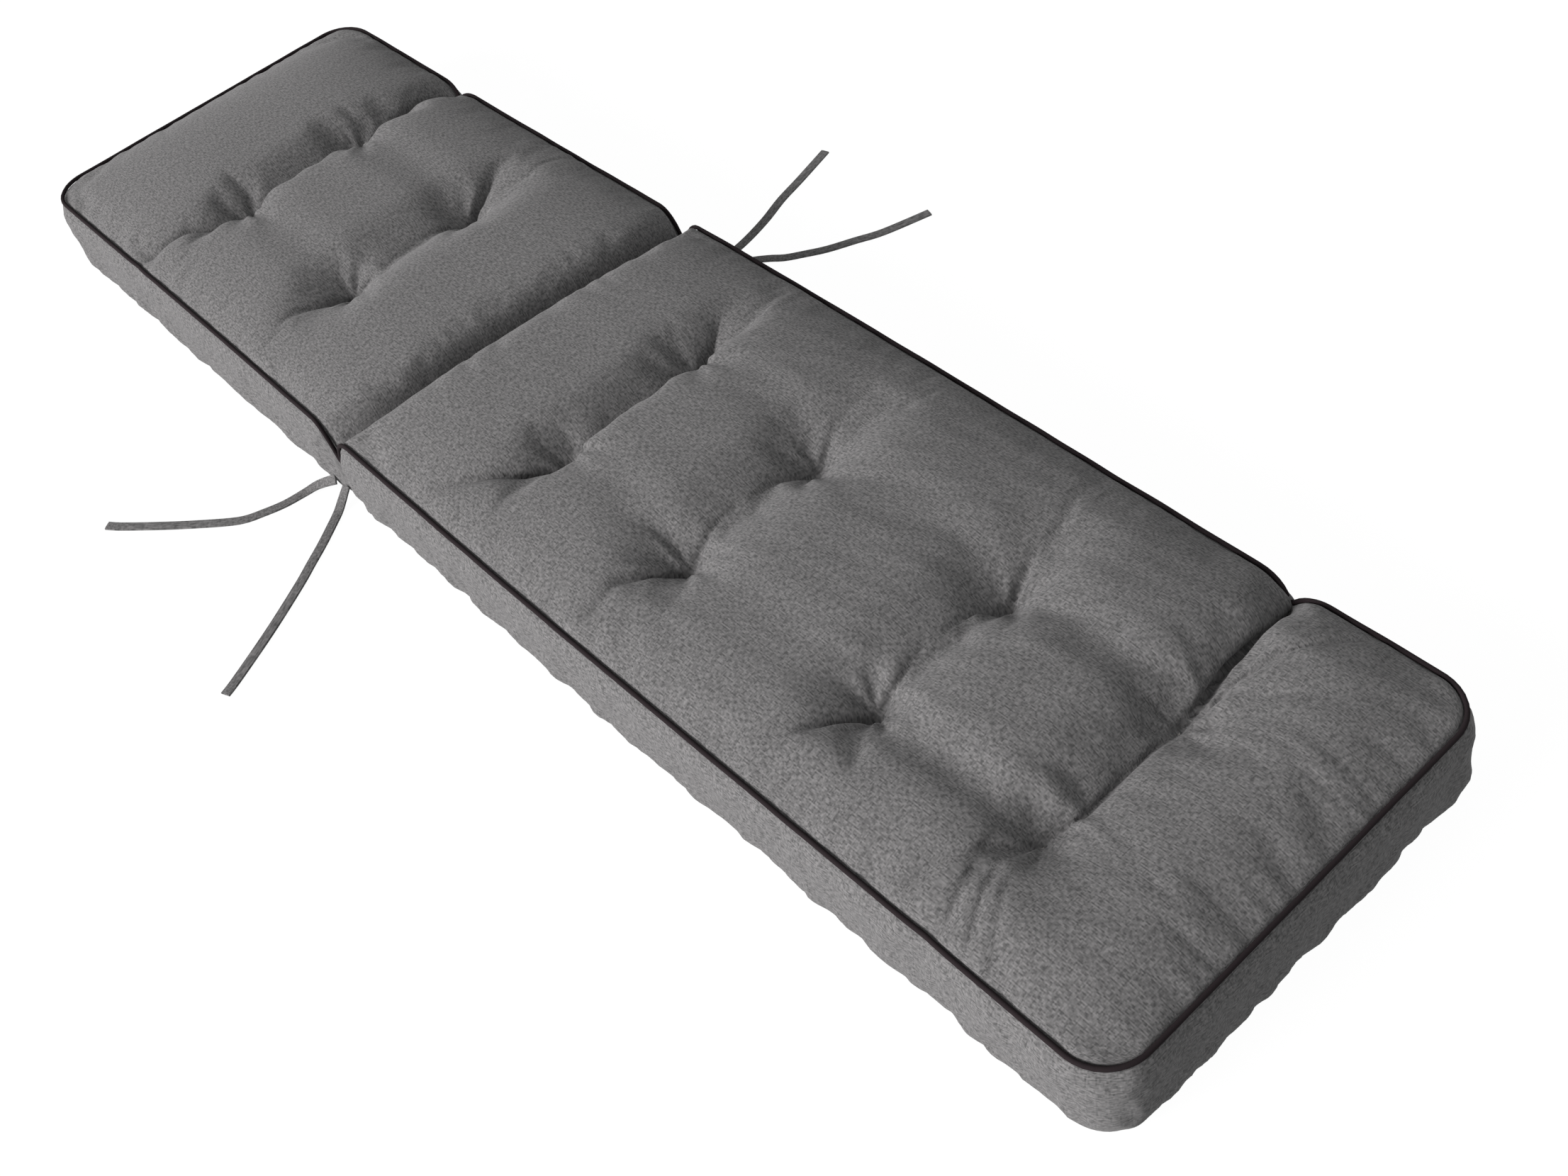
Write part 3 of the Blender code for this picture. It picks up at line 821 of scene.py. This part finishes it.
def band_puckers(share):
    """The folds of the band at one height, in metres outwards."""
    slant = PUCKER_SLANT * (1 - share) * RIM_HEIGHT
    change, small_change = share * PUCKER_CHANGE, share * SMALL_PUCKER_CHANGE
    wide = smooth_noise(rim_run + slant, PUCKER_SPACING, seed=7.7, rise=change)
    small = smooth_noise(rim_run - slant, SMALL_PUCKER_SPACING, seed=1.3, rise=small_change)
    strength = PUCKER_AT_TOP + (1 - PUCKER_AT_TOP) * (1 - share)
    strength *= min(1.0, (1 - share) * PUCKER_FADE)
    return strength * (PUCKER_DEPTH * wide + SMALL_PUCKER_DEPTH * small)


# %% [markdown]
# Now every point of the blocked-out mesh gets its place. The panel's points come
# from the outline and the height, the others from rings round the rim: the first
# three lie round the piping's seat, the rest run down the band to the floor.

# %% Put every point in its place
rim_hold = band_hold(rim_x)


def rim_ring(level):
    """The ring of points at one level below the panel."""
    if level == 0:
        return rim_middle - rim_out * PIPING_SEAT + rim_up * SEAT_LIP
    if level == 1:
        return rim_middle - rim_out * PIPING_SEAT - rim_up * PIPING_SEAT
    if level == SEAT_LEVELS:
        return rim_middle + rim_out * SEAT_OUTER_LIP - rim_up * PIPING_SEAT
    share = 1 - (level - SEAT_LEVELS) / BAND_CELLS
    out = band_bulge(share) * (1 - rim_hold) + band_puckers(share)
    ring = rim_middle + rim_out * out[:, None]
    ring[:, 2] = (rim_middle[:, 2] - PIPING_SEAT) * share
    return ring


shaped = np.empty((count, 3))
on_top = level_of == 0
shaped[on_top, 0], shaped[on_top, 1] = plan_place(x_of[on_top], y_of[on_top])
shaped[on_top, 2] = top_height(x_of[on_top], y_of[on_top])
rings = [rim_ring(level) for level in range(LEVELS + 1)]
on_rim = np.array([(c, r) in rim_index for c, r in zip(column, row)])
for point in np.nonzero(on_rim)[0]:
    shaped[point] = rings[level_of[point]][rim_index[column[point], row[point]]]
cushion.data.vertices.foreach_set("co", shaped.ravel())
cushion.data.update()
print("the panel's highest place:", round(float(shaped[:, 2].max()) * 1000, 1), "mm")

# %% [markdown]
# ## A map for the weave
#
# The cloth's pattern has to follow the cloth, so the map is laid out in metres:
# along and across on the panel, with the hills and the fold measured over their
# slopes, and round and down on the band.

# %% Lay out the weave map
top_index = np.zeros((CELLS_ALONG + 1, CELLS_ACROSS + 1), dtype=int)
top_index[column[on_top], row[on_top]] = np.nonzero(on_top)[0]
steps_along = np.linalg.norm(np.diff(shaped[top_index], axis=0), axis=2)
cloth_along = np.concatenate(([0], np.cumsum(steps_along.mean(axis=1))))

run_of = np.zeros(count)
for point in np.nonzero(on_rim)[0]:
    run_of[point] = rim_run[rim_index[column[point], row[point]]]
layer = cushion.data.uv_layers.active or cushion.data.uv_layers.new(name="weave")
layer.name = "weave"
BAND_STEP = RIM_HEIGHT / BAND_CELLS
for face in cushion.data.polygons:
    corners = list(face.vertices)
    on_band = max(level_of[corners]) > 0
    runs = run_of[corners]
    wraps = on_band and max(runs) - min(runs) > RIM_LENGTH / 2
    for loop_index, index, run in zip(face.loop_indices, corners, runs):
        if on_band:
            turn = RIM_LENGTH if wraps and run < RIM_LENGTH / 2 else 0
            layer.data[loop_index].uv = (run + turn, -level_of[index] * BAND_STEP)
        else:
            layer.data[loop_index].uv = (cloth_along[column[index]], y_of[index])
print("cloth along the panel:", round(float(cloth_along[-1]), 3), "m")

# %% [markdown]
# ## Fill it
#
# The filling pushes the cloth out and the sewing holds it back. A short cloth
# simulation does the same: the seams, the fold line and the tufts are pinned, the
# cloth is cut a little large, and pressure fills it. No point may travel further
# than a few millimetres, so the cushion keeps its measured size.

# %% Pin what is sewn
BAND_PIN = 0.35
FOLD_PIN = 0.95
FOLD_PIN_GAIN = 1.3
TROUGH_PIN = 0.35
TROUGH_PIN_REACH = 0.006
CREASE_PIN = 0.7
CREASE_PIN_DEPTH = 0.020


def pin_weights():
    """1 where a point is held still, 0 where it is free."""
    weights = np.zeros(count)
    weights[on_rim] = 1.0
    inner_band = on_rim & (level_of > SEAT_LEVELS) & (level_of < LEVELS)
    weights[inner_band] = BAND_PIN
    fold = np.minimum(FOLD_PIN_GAIN * fold_pull(x_of, y_of) ** 0.5, FOLD_PIN)
    weights = np.maximum(weights, fold * on_top)
    weights = np.maximum(weights, at_tuft(shaped[:, 0], shaped[:, 1]) * on_top)
    for sewn in ROWS:
        near_row = np.abs(x_of - sewn["x"]) < TROUGH_PIN_REACH
        weights = np.maximum(weights, TROUGH_PIN * near_row * row_share(y_of) * on_top)
    creased = crease_depth(shaped[:, 0], shaped[:, 1]) / CREASE_PIN_DEPTH
    return np.maximum(weights, np.minimum(CREASE_PIN * creased, CREASE_PIN) * on_top)


# %% [markdown]
# The simulation's result isn't taken as it is. Every point's travel is eased off
# towards the limit, so that none goes past it.

# %% Fill with pressure
FILL_FRAMES = 20
FILL_TRAVEL = 0.006


def fill_with_pressure(obj):
    pins = obj.vertex_groups.new(name="sewn")
    for index, weight in enumerate(pin_weights()):
        pins.add([index], float(weight), "REPLACE")
    select_only(obj)
    bpy.ops.object.modifier_add(type="CLOTH")
    cloth_settings = obj.modifiers["Cloth"].settings
    cloth_settings.vertex_group_mass = "sewn"
    cloth_settings.quality = 5
    cloth_settings.mass = 0.3
    cloth_settings.tension_stiffness = 15
    cloth_settings.compression_stiffness = 15
    cloth_settings.shear_stiffness = 5
    cloth_settings.bending_stiffness = 0.05
    cloth_settings.use_pressure = True
    cloth_settings.uniform_pressure_force = 4
    cloth_settings.shrink_min = -0.025
    cloth_settings.effector_weights.gravity = 0
    for frame_number in range(1, FILL_FRAMES + 1):
        bpy.context.scene.frame_set(frame_number)
    bpy.ops.object.modifier_apply(modifier="Cloth")
    bpy.context.scene.frame_set(1)
    filled = np.empty(count * 3)
    obj.data.vertices.foreach_get("co", filled)
    travel = filled.reshape(-1, 3) - shaped
    far = np.linalg.norm(travel, axis=1)
    travel *= (FILL_TRAVEL * np.tanh(far / FILL_TRAVEL) / np.maximum(far, 1e-9))[:, None]
    obj.data.vertices.foreach_set("co", (shaped + travel).ravel())
    obj.data.update()
    kept = float(np.linalg.norm(travel, axis=1).max())
    print("filled: pushed", round(float(far.max()) * 1000, 1), "mm, kept", round(kept * 1000, 1))


fill_with_pressure(cushion)

# %% [markdown]
# Subdivision Surface rounds the cells off and makes four of each one.

# %% Smooth the cloth
select_only(cushion)
bpy.ops.object.modifier_add(type="SUBSURF")
cushion.modifiers["Subdivision"].levels = 1
cushion.modifiers["Subdivision"].render_levels = 1
bpy.ops.object.modifier_apply(modifier="Subdivision")
bpy.ops.object.shade_smooth()
print("smoothed:", len(cushion.data.vertices), "points")

# %% [markdown]
# ## Small folds
#
# With twice the points each way there is room for what is finer. First the sharp
# bottom of each crease, and the shoulder of the fuller pillow that leans over it.

# %% Sharp creases
CREASE_LINE_DEPTH = 0.75
CREASE_LINE_REACH = 0.010
LEAN_REACH = 0.016


def rise_and_fade(distance, peak):
    """0 at the start, 1 at the peak distance, then fading."""
    share = distance / peak
    return share * np.exp(1 - share)


def crease_lines(x, y):
    """The sharp bottoms of the creases, and how far their fuller sides lean over."""
    drawn_in = np.zeros(x.shape)
    lean = np.zeros(x.shape)
    for crease in CREASES:
        if not crease["lean"]:
            continue
        line = sorted(crease["line"], key=lambda place: place[1])
        distance, share = along_line(x, y, crease["line"])
        strength = 1 + (crease["end_depth"] / crease["depth"] - 1) * share
        bottom = pillow_curve(distance / CREASE_LINE_REACH)
        drawn_in = np.maximum(drawn_in, CREASE_LINE_DEPTH * crease["depth"] * strength * bottom)
        past = x - np.interp(y, [place[1] for place in line], [place[0] for place in line])
        fuller = np.sign(past) == -math.copysign(1, crease["lean"])
        shoulder = rise_and_fade(distance, LEAN_REACH / 2) * (distance < 3 * LEAN_REACH)
        push = crease["lean"] * strength * shoulder * fuller
        lean = np.where(np.abs(push) > np.abs(lean), push, lean)
    return drawn_in, lean * (1 - at_tuft(x, y))


# %% [markdown]
# Then the little folds that fan out from every tuft, the puckers that the seam
# gathers along the piping, and slack ripples in the panel, which are strongest at
# the foot end.

# %% Fans, puckers and ripples
FAN_DEPTH = 0.0022
FAN_RADIUS = 0.018
FAN_FOLDS = 7
FAN_WANDER = 2.0
FAN_WANDER_OUT = 0.03
FAN_WANDER_ROUND = 1.2
FAN_UNEVENNESS = 0.4
FAN_TURN = 1.9
FAN_SEED = 3.7
SEAM_PUCKER_DEPTH = 0.0016
SEAM_PUCKER_SIZE = 0.015
SEAM_PUCKER_INSET = 0.012
SEAM_PUCKER_LONG = 0.05
RIPPLE_DEPTH = 0.0013
RIPPLE_LONG = 0.060
RIPPLE_WIDE = 0.020
RIPPLE_WAY = (0.94, 0.34)
RIPPLE_INSET = 0.03
SLACK_IN_MIDDLE = 0.55
SLACK_GAIN = 0.45
SLACK_REACH = 0.5


def noise_at(x, y, size_x, size_y, seed):
    """Even noise in -1..1, one lump every size_x by size_y metres."""
    places = np.column_stack((x / size_x, y / size_y, np.full(x.shape, seed)))
    return np.array([noise.noise(Vector(place)) for place in places])


def edge_distance(x, y):
    """Distance in from the nearest edge of the block."""
    return np.minimum(HALF_WIDTH - np.abs(y), HALF_LENGTH - np.abs(x))


def tuft_fans(x, y):
    total = np.zeros(x.shape)
    for number, (tuft_x, tuft_y) in enumerate(TUFTS.values()):
        distance = np.hypot(x - tuft_x, y - tuft_y)
        angle = np.arctan2(y - tuft_y, x - tuft_x)
        seed = number * FAN_SEED
        wander = noise_at(distance, angle, FAN_WANDER_OUT, FAN_WANDER_ROUND, seed) * FAN_WANDER
        fan = np.cos(FAN_FOLDS * angle + number * FAN_TURN + wander)
        fan *= 1 - FAN_UNEVENNESS + FAN_UNEVENNESS * np.cos(2 * angle + number)
        total += FAN_DEPTH * fan * rise_and_fade(distance, FAN_RADIUS)
    return total


def seam_puckers(x, y):
    inset = np.maximum(edge_distance(x, y), 0)
    run = np.where(HALF_WIDTH - np.abs(y) < HALF_LENGTH - np.abs(x), x, y)
    gather = noise_at(run, inset, SEAM_PUCKER_SIZE, SEAM_PUCKER_LONG, seed=5.5)
    return SEAM_PUCKER_DEPTH * gather * rise_and_fade(inset, SEAM_PUCKER_INSET)


def slack_ripples(x, y):
    with_way, across_way = RIPPLE_WAY
    turned_x = x * with_way + y * across_way
    turned_y = y * with_way - x * across_way
    ripple = noise_at(turned_x, turned_y, RIPPLE_LONG, RIPPLE_WIDE, seed=9.2)
    slack = SLACK_IN_MIDDLE + SLACK_GAIN * np.clip(x / SLACK_REACH, -1, 1)
    inset = np.maximum(edge_distance(x, y), 0)
    return RIPPLE_DEPTH * ripple * slack * np.minimum(inset / RIPPLE_INSET, 1)


def small_folds(x, y):
    """How far in, in metres, the cloth is drawn at every place of the top panel."""
    return tuft_fans(x, y) + seam_puckers(x, y) + slack_ripples(x, y)


# %% [markdown]
# Last the fine upright folds of the side band, strongest by the lower seam.

# %% Gathers in the band
GATHER_DEPTH = 0.0028
GATHER_WIDE = 0.012
GATHER_TALL = 0.040
GATHER_SLANT = 0.3
FINE_GATHER_SHARE = 0.5
FINE_GATHER_SIZE = 0.6
FINE_GATHER_SLANT = 0.5
GATHERS_FROM_TOP = 1.25
GATHERS_AT_FLOOR = 0.25
GATHERS_FULL_FROM = 0.02


def band_gathers(place):
    """How far in, in metres, the band is drawn at every place."""
    x, y, z = place.T
    run = np.where(np.abs(y) / HALF_WIDTH > np.abs(x) / HALF_LENGTH, x, y)
    fold = noise_at(run + GATHER_SLANT * z, z, GATHER_WIDE, GATHER_TALL, seed=2.6)
    fine_run = run - FINE_GATHER_SLANT * z
    fine_wide = GATHER_WIDE * FINE_GATHER_SIZE
    fine_tall = GATHER_TALL * FINE_GATHER_SIZE
    fold += FINE_GATHER_SHARE * noise_at(fine_run, z, fine_wide, fine_tall, seed=4.1)
    by_height = np.clip(GATHERS_FROM_TOP - z / RIM_HEIGHT, 0, 1)
    return GATHER_DEPTH * fold * by_height * np.clip(z / GATHERS_FULL_FROM, GATHERS_AT_FLOOR, 1)


# %% [markdown]
# A point is moved along its normal. The panel's folds fade out where the cloth
# turns down to the seam, and the sharp creases stop short of the piping. A point
# belongs to the band where its normal is nearly level, below the piping.

# %% Draw the folds in
PANEL_FACES_UP = 0.25
PANEL_FADE = 0.3
CREASES_STOP = 0.008
CREASES_FADE = 0.015
BAND_FACES_UP = 0.6
BAND_INSET = 0.03
BAND_TOP_SHARE = 0.9
FLOOR_GAP = 0.001

total = len(cushion.data.vertices)
placed = np.empty(total * 3)
facing = np.empty(total * 3)
cushion.data.vertices.foreach_get("co", placed)
cushion.data.vertex_normals.foreach_get("vector", facing)
placed = placed.reshape(-1, 3)
facing = facing.reshape(-1, 3)

panel = np.clip((facing[:, 2] - PANEL_FACES_UP) / PANEL_FADE, 0, 1)
chosen = np.nonzero(panel > 0)[0]
x, y = placed[chosen, 0], placed[chosen, 1]
line_depth, lean = crease_lines(x, y)
line_depth *= np.clip((edge_distance(x, y) - CREASES_STOP) / CREASES_FADE, 0, 1)
drawn_in = (line_depth + small_folds(x, y)) * panel[chosen]
placed[chosen] -= facing[chosen] * drawn_in[:, None]
placed[chosen, 0] += lean * panel[chosen]

upright = np.abs(facing[:, 2]) < BAND_FACES_UP
between = (placed[:, 2] > FLOOR_GAP) & (placed[:, 2] < BAND_TOP_SHARE * RIM_HEIGHT)
past_side = np.abs(placed[:, 1]) - HALF_WIDTH
past_end = np.abs(placed[:, 0]) - HALF_LENGTH
banded = np.nonzero(upright & between & (np.maximum(past_end, past_side) > -BAND_INSET))[0]
placed[banded] -= facing[banded] * band_gathers(placed[banded])[:, None]
cushion.data.vertices.foreach_set("co", placed.ravel())
cushion.data.update()
print("small folds: up to", round(float(drawn_in.max()) * 1000, 1), "mm deep")

# %% [markdown]
# The lowest edge lies on the floor. It is filled with one flat face, the
# underside, and the normals are made to point outwards.

# %% Fill the underside
bpy.ops.object.mode_set(mode="EDIT")
bpy.ops.mesh.select_mode(type="EDGE")
bpy.ops.mesh.select_all(action="DESELECT")
bpy.ops.mesh.select_non_manifold()
bpy.ops.mesh.edge_face_add()
bpy.ops.mesh.select_all(action="SELECT")
bpy.ops.mesh.normals_make_consistent(inside=False)
bpy.ops.object.mode_set(mode="OBJECT")
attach(cushion, "root")
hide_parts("cushion")
print("cushion:", len(cushion.data.polygons), "faces")

# %% [markdown]
# ## The piping
#
# Piping is a cord wrapped in a strip of cloth cut on the bias. A curve with a
# round bevel follows the rim's loop and is then made a mesh.

# %% Model the piping
PIPING_ROUNDNESS = 4

piping_curve = bpy.data.curves.new("piping_cord", "CURVE")
piping_curve.dimensions = "3D"
piping_curve.bevel_depth = PIPING_SHOWN / 2
piping_curve.bevel_resolution = PIPING_ROUNDNESS
spline = piping_curve.splines.new("POLY")
spline.points.add(len(RIM) - 1)
for point, place in zip(spline.points, rim_middle):
    point.co = (*place, 1)
spline.use_cyclic_u = True
piping = bpy.data.objects.new("piping_cord", piping_curve)
bpy.context.scene.collection.objects.link(piping)
select_only(piping)
bpy.ops.object.convert(target="MESH")
piping = bpy.context.object
bpy.ops.object.shade_smooth()
print("piping:", len(piping.data.polygons), "faces")
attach(piping, "root")
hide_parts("piping")


# %% [markdown]
# ## The tacks
#
# Every tuft is held by a few stitches of thick thread. From above they show as a
# small cross. One cross is modelled from two short rounded bars, and copied to
# the lowest place of the cloth at each tuft.

# %% Tacks
TACK_LONG = 0.0055
TACK_THICK = 0.0013
TACK_RISE = TACK_THICK * 0.4
TACK_TURNS = (25, 105)


def model_tack():
    """A small cross of two threads, each a long thin ball."""
    bars = []
    for turn in TACK_TURNS:
        deselect_all()
        bpy.ops.mesh.primitive_uv_sphere_add(segments=12, ring_count=8, radius=1)
        bar = bpy.context.object
        bar.scale = (TACK_LONG / 2, TACK_THICK / 2, TACK_THICK / 2)
        bar.rotation_euler = (0, 0, math.radians(turn))
        bpy.ops.object.transform_apply(location=True, rotation=True, scale=True)
        bars.append(bar)
    select_only(bars[0])
    bars[1].select_set(True)
    bpy.ops.object.join()
    bpy.ops.object.shade_smooth()
    return bpy.context.object


surface = BVHTree.FromPolygons(
    [point.co for point in cushion.data.vertices],
    [face.vertices for face in cushion.data.polygons if len(face.vertices) < 5],
)
first_tack = model_tack()
tacks = []
for number, (tuft_x, tuft_y) in enumerate(TUFTS.values()):
    hit = surface.ray_cast(Vector((tuft_x, tuft_y, 1)), Vector((0, 0, -1)))[0]
    tack = first_tack.copy()
    tack.data = first_tack.data.copy()
    tack.name = "tack_" + str(number + 1)
    tack.data.transform(Matrix.Translation(hit + Vector((0, 0, TACK_RISE))))
    bpy.context.scene.collection.objects.link(tack)
    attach(tack, "root")
    tacks.append(tack)
    print(tack.name, "at a height of", round(hit.z * 1000), "mm")
bpy.data.objects.remove(first_tack)


# %% [markdown]
# ## Finishes
#
# The cloth is spun-dyed polyester in a plain weave. Its yarns are spun from dark
# and pale fibres, which is called melange, so each thread is flecked, and the
# flecks run lengthwise along the cushion. The real threads are about 0.6 mm
# apart, too fine to show here, so they are drawn at about twice that. The cloth is
# matt, with a faint sheen of loose fibres, the pale ones standing a little proud.

# %% Cloth
THREAD_PITCH = 0.0013
FLECK_LONG = 0.0045
FLECK_SCALE = 0.83
FLECK_STEP = 0.02
FLECK_DARK_UP_TO = 0.32
FLECK_PALE_FROM = 0.68
WEFT_SHARE = 0.36


def new_material(name):
    material = bpy.data.materials.new(name)
    material.use_nodes = True
    return material, material.node_tree.nodes["Principled BSDF"]


def flecked_threads(material, coords, threads_run, seed):
    """Noise that is long along each thread and starts anew on the next one."""
    scale = (1 / FLECK_LONG, 1 / THREAD_PITCH, 1)
    step = (FLECK_STEP, 1, 1)
    if threads_run == "across":
        scale = (scale[1], scale[0], 1)
        step = (step[1], step[0], 1)
    stretched = add_node(
        material, "ShaderNodeMapping", Vector=coords, Location=(seed, seed, 0), Scale=scale
    )
    each_thread = add_node(
        material, "ShaderNodeVectorMath", {"operation": "SNAP"}, i0=(stretched, 0), i1=step
    )
    return add_node(
        material, "ShaderNodeTexNoise", {"noise_dimensions": "2D"},
        Vector=(each_thread, 0), Scale=FLECK_SCALE, Detail=1.0,
    )


def melange_cloth(name, dark, pale):
    material, shader = new_material(name)
    coords = (add_node(material, "ShaderNodeUVMap", {"uv_map": "weave"}), "UV")
    warp = flecked_threads(material, coords, "along", 0)
    weft = flecked_threads(material, coords, "across", 40)
    flecks = add_node(
        material, "ShaderNodeMix", {"data_type": "FLOAT"},
        Factor=WEFT_SHARE, i2=(warp, 0), i3=(weft, 0),
    )
    shade = add_node(material, "ShaderNodeValToRGB", Fac=(flecks, "Result"))
    shade.color_ramp.elements[0].position = FLECK_DARK_UP_TO
    shade.color_ramp.elements[0].color = linear(dark)
    shade.color_ramp.elements[1].position = FLECK_PALE_FROM
    shade.color_ramp.elements[1].color = linear(pale)
    material.node_tree.links.new(shade.outputs["Color"], shader.inputs["Base Color"])
    bump = add_node(
        material, "ShaderNodeBump", Strength=0.15, Distance=0.0002, Height=(flecks, "Result")
    )
    material.node_tree.links.new(bump.outputs["Normal"], shader.inputs["Normal"])
    shader.inputs["Roughness"].default_value = 0.92
    shader.inputs["Specular IOR Level"].default_value = 0.2
    shader.inputs["Sheen Weight"].default_value = 0.10
    shader.inputs["Sheen Roughness"].default_value = 0.6
    return material


cloth = melange_cloth("woven_melange_polyester", "#464646", "#757474")
for piece in [cushion] + ties:
    piece.data.materials.clear()
    piece.data.materials.append(cloth)
print(cloth.name, "on", 1 + len(ties), "pieces")


# %% [markdown]
# The piping is a fine dark brown-black cloth, matt, with threads too fine to tell
# apart, so a little grain of about a millimetre stands for them.

# %% Piping cloth
PIPING_GRAIN = 0.0012


def piping_cloth(name, colour):
    material, shader = new_material(name)
    coords = add_node(material, "ShaderNodeTexCoord")
    grain = add_node(
        material, "ShaderNodeTexNoise",
        Vector=(coords, "Object"), Scale=1 / PIPING_GRAIN, Detail=2.0,
    )
    bump = add_node(
        material, "ShaderNodeBump", Strength=0.3, Distance=0.0004, Height=(grain, "Fac"),
    )
    material.node_tree.links.new(bump.outputs["Normal"], shader.inputs["Normal"])
    shader.inputs["Base Color"].default_value = linear(colour)
    shader.inputs["Roughness"].default_value = 0.9
    shader.inputs["Specular IOR Level"].default_value = 0.15
    return material


piping.data.materials.clear()
piping.data.materials.append(piping_cloth("bias_cut_piping", "#211b1d"))


# %% [markdown]
# The tacks are undyed thread, paler than the cloth.

# %% Thread
thread, thread_shader = new_material("pale_tack_thread")
thread_shader.inputs["Base Color"].default_value = linear("#a29f9c")
thread_shader.inputs["Roughness"].default_value = 0.8
for tack in tacks:
    tack.data.materials.append(thread)
print(thread.name, "on", len(tacks), "tacks")

# %% [markdown]
# ## Table and light
#
# The cushion lies on a lit white table, so the ground glows and takes no
# shadow, and it lights the band from below. It is overexposed, so it is seen
# brighter than the light that it gives.

# %% Table
TABLE_SIZE = 30
TABLE_GLOW = 0.35
TABLE_SEEN = 0.97

deselect_all()
bpy.ops.mesh.primitive_plane_add(size=TABLE_SIZE)
floor = bpy.context.object
floor.name = "lit_white_table"
floor_material, floor_shader = new_material("glowing_white_table")
floor_shader.inputs["Base Color"].default_value = (0.05, 0.05, 0.05, 1)
floor_shader.inputs["Roughness"].default_value = 1.0
floor_shader.inputs["Specular IOR Level"].default_value = 0.0
floor_shader.inputs["Emission Color"].default_value = (1, 1, 1, 1)
ray = add_node(floor_material, "ShaderNodeLightPath")
glow = add_node(
    floor_material, "ShaderNodeMath", {"operation": "MULTIPLY_ADD"},
    i0=(ray, "Is Camera Ray"), i1=TABLE_SEEN - TABLE_GLOW, i2=TABLE_GLOW,
)
floor_material.node_tree.links.new(glow.outputs[0], floor_shader.inputs["Emission Strength"])
floor.data.materials.append(floor_material)

# %% [markdown]
# One large soft light stands low on the near side, a little towards the head end.
# It makes the near band the palest part, and a pale sky fills the rest.

# %% Light
LIGHT_STRENGTH = 5.2
LIGHT_COLOUR = (1.0, 0.975, 0.98)
LIGHT_SIZE = math.radians(30)
LIGHT_AZIMUTH = math.radians(-16)
LIGHT_ELEVATION = math.radians(20)
SKY_STRENGTH = 0.48

towards_light = Vector((
    math.cos(LIGHT_ELEVATION) * math.sin(LIGHT_AZIMUTH),
    -math.cos(LIGHT_ELEVATION) * math.cos(LIGHT_AZIMUTH),
    math.sin(LIGHT_ELEVATION),
))
bpy.ops.object.light_add(type="SUN")
light = bpy.context.object
light.name = "near_softbox"
light.data.energy = LIGHT_STRENGTH
light.data.color = LIGHT_COLOUR
light.data.angle = LIGHT_SIZE
light.rotation_euler = towards_light.to_track_quat("Z", "Y").to_euler()

world = bpy.data.worlds.new("studio_sky")
bpy.context.scene.world = world
world.use_nodes = True
sky = world.node_tree.nodes["Background"]
sky.inputs["Color"].default_value = (1, 1, 1, 1)
sky.inputs["Strength"].default_value = SKY_STRENGTH
bpy.context.scene.view_settings.view_transform = "Standard"
print("light from", [round(value, 2) for value in towards_light])
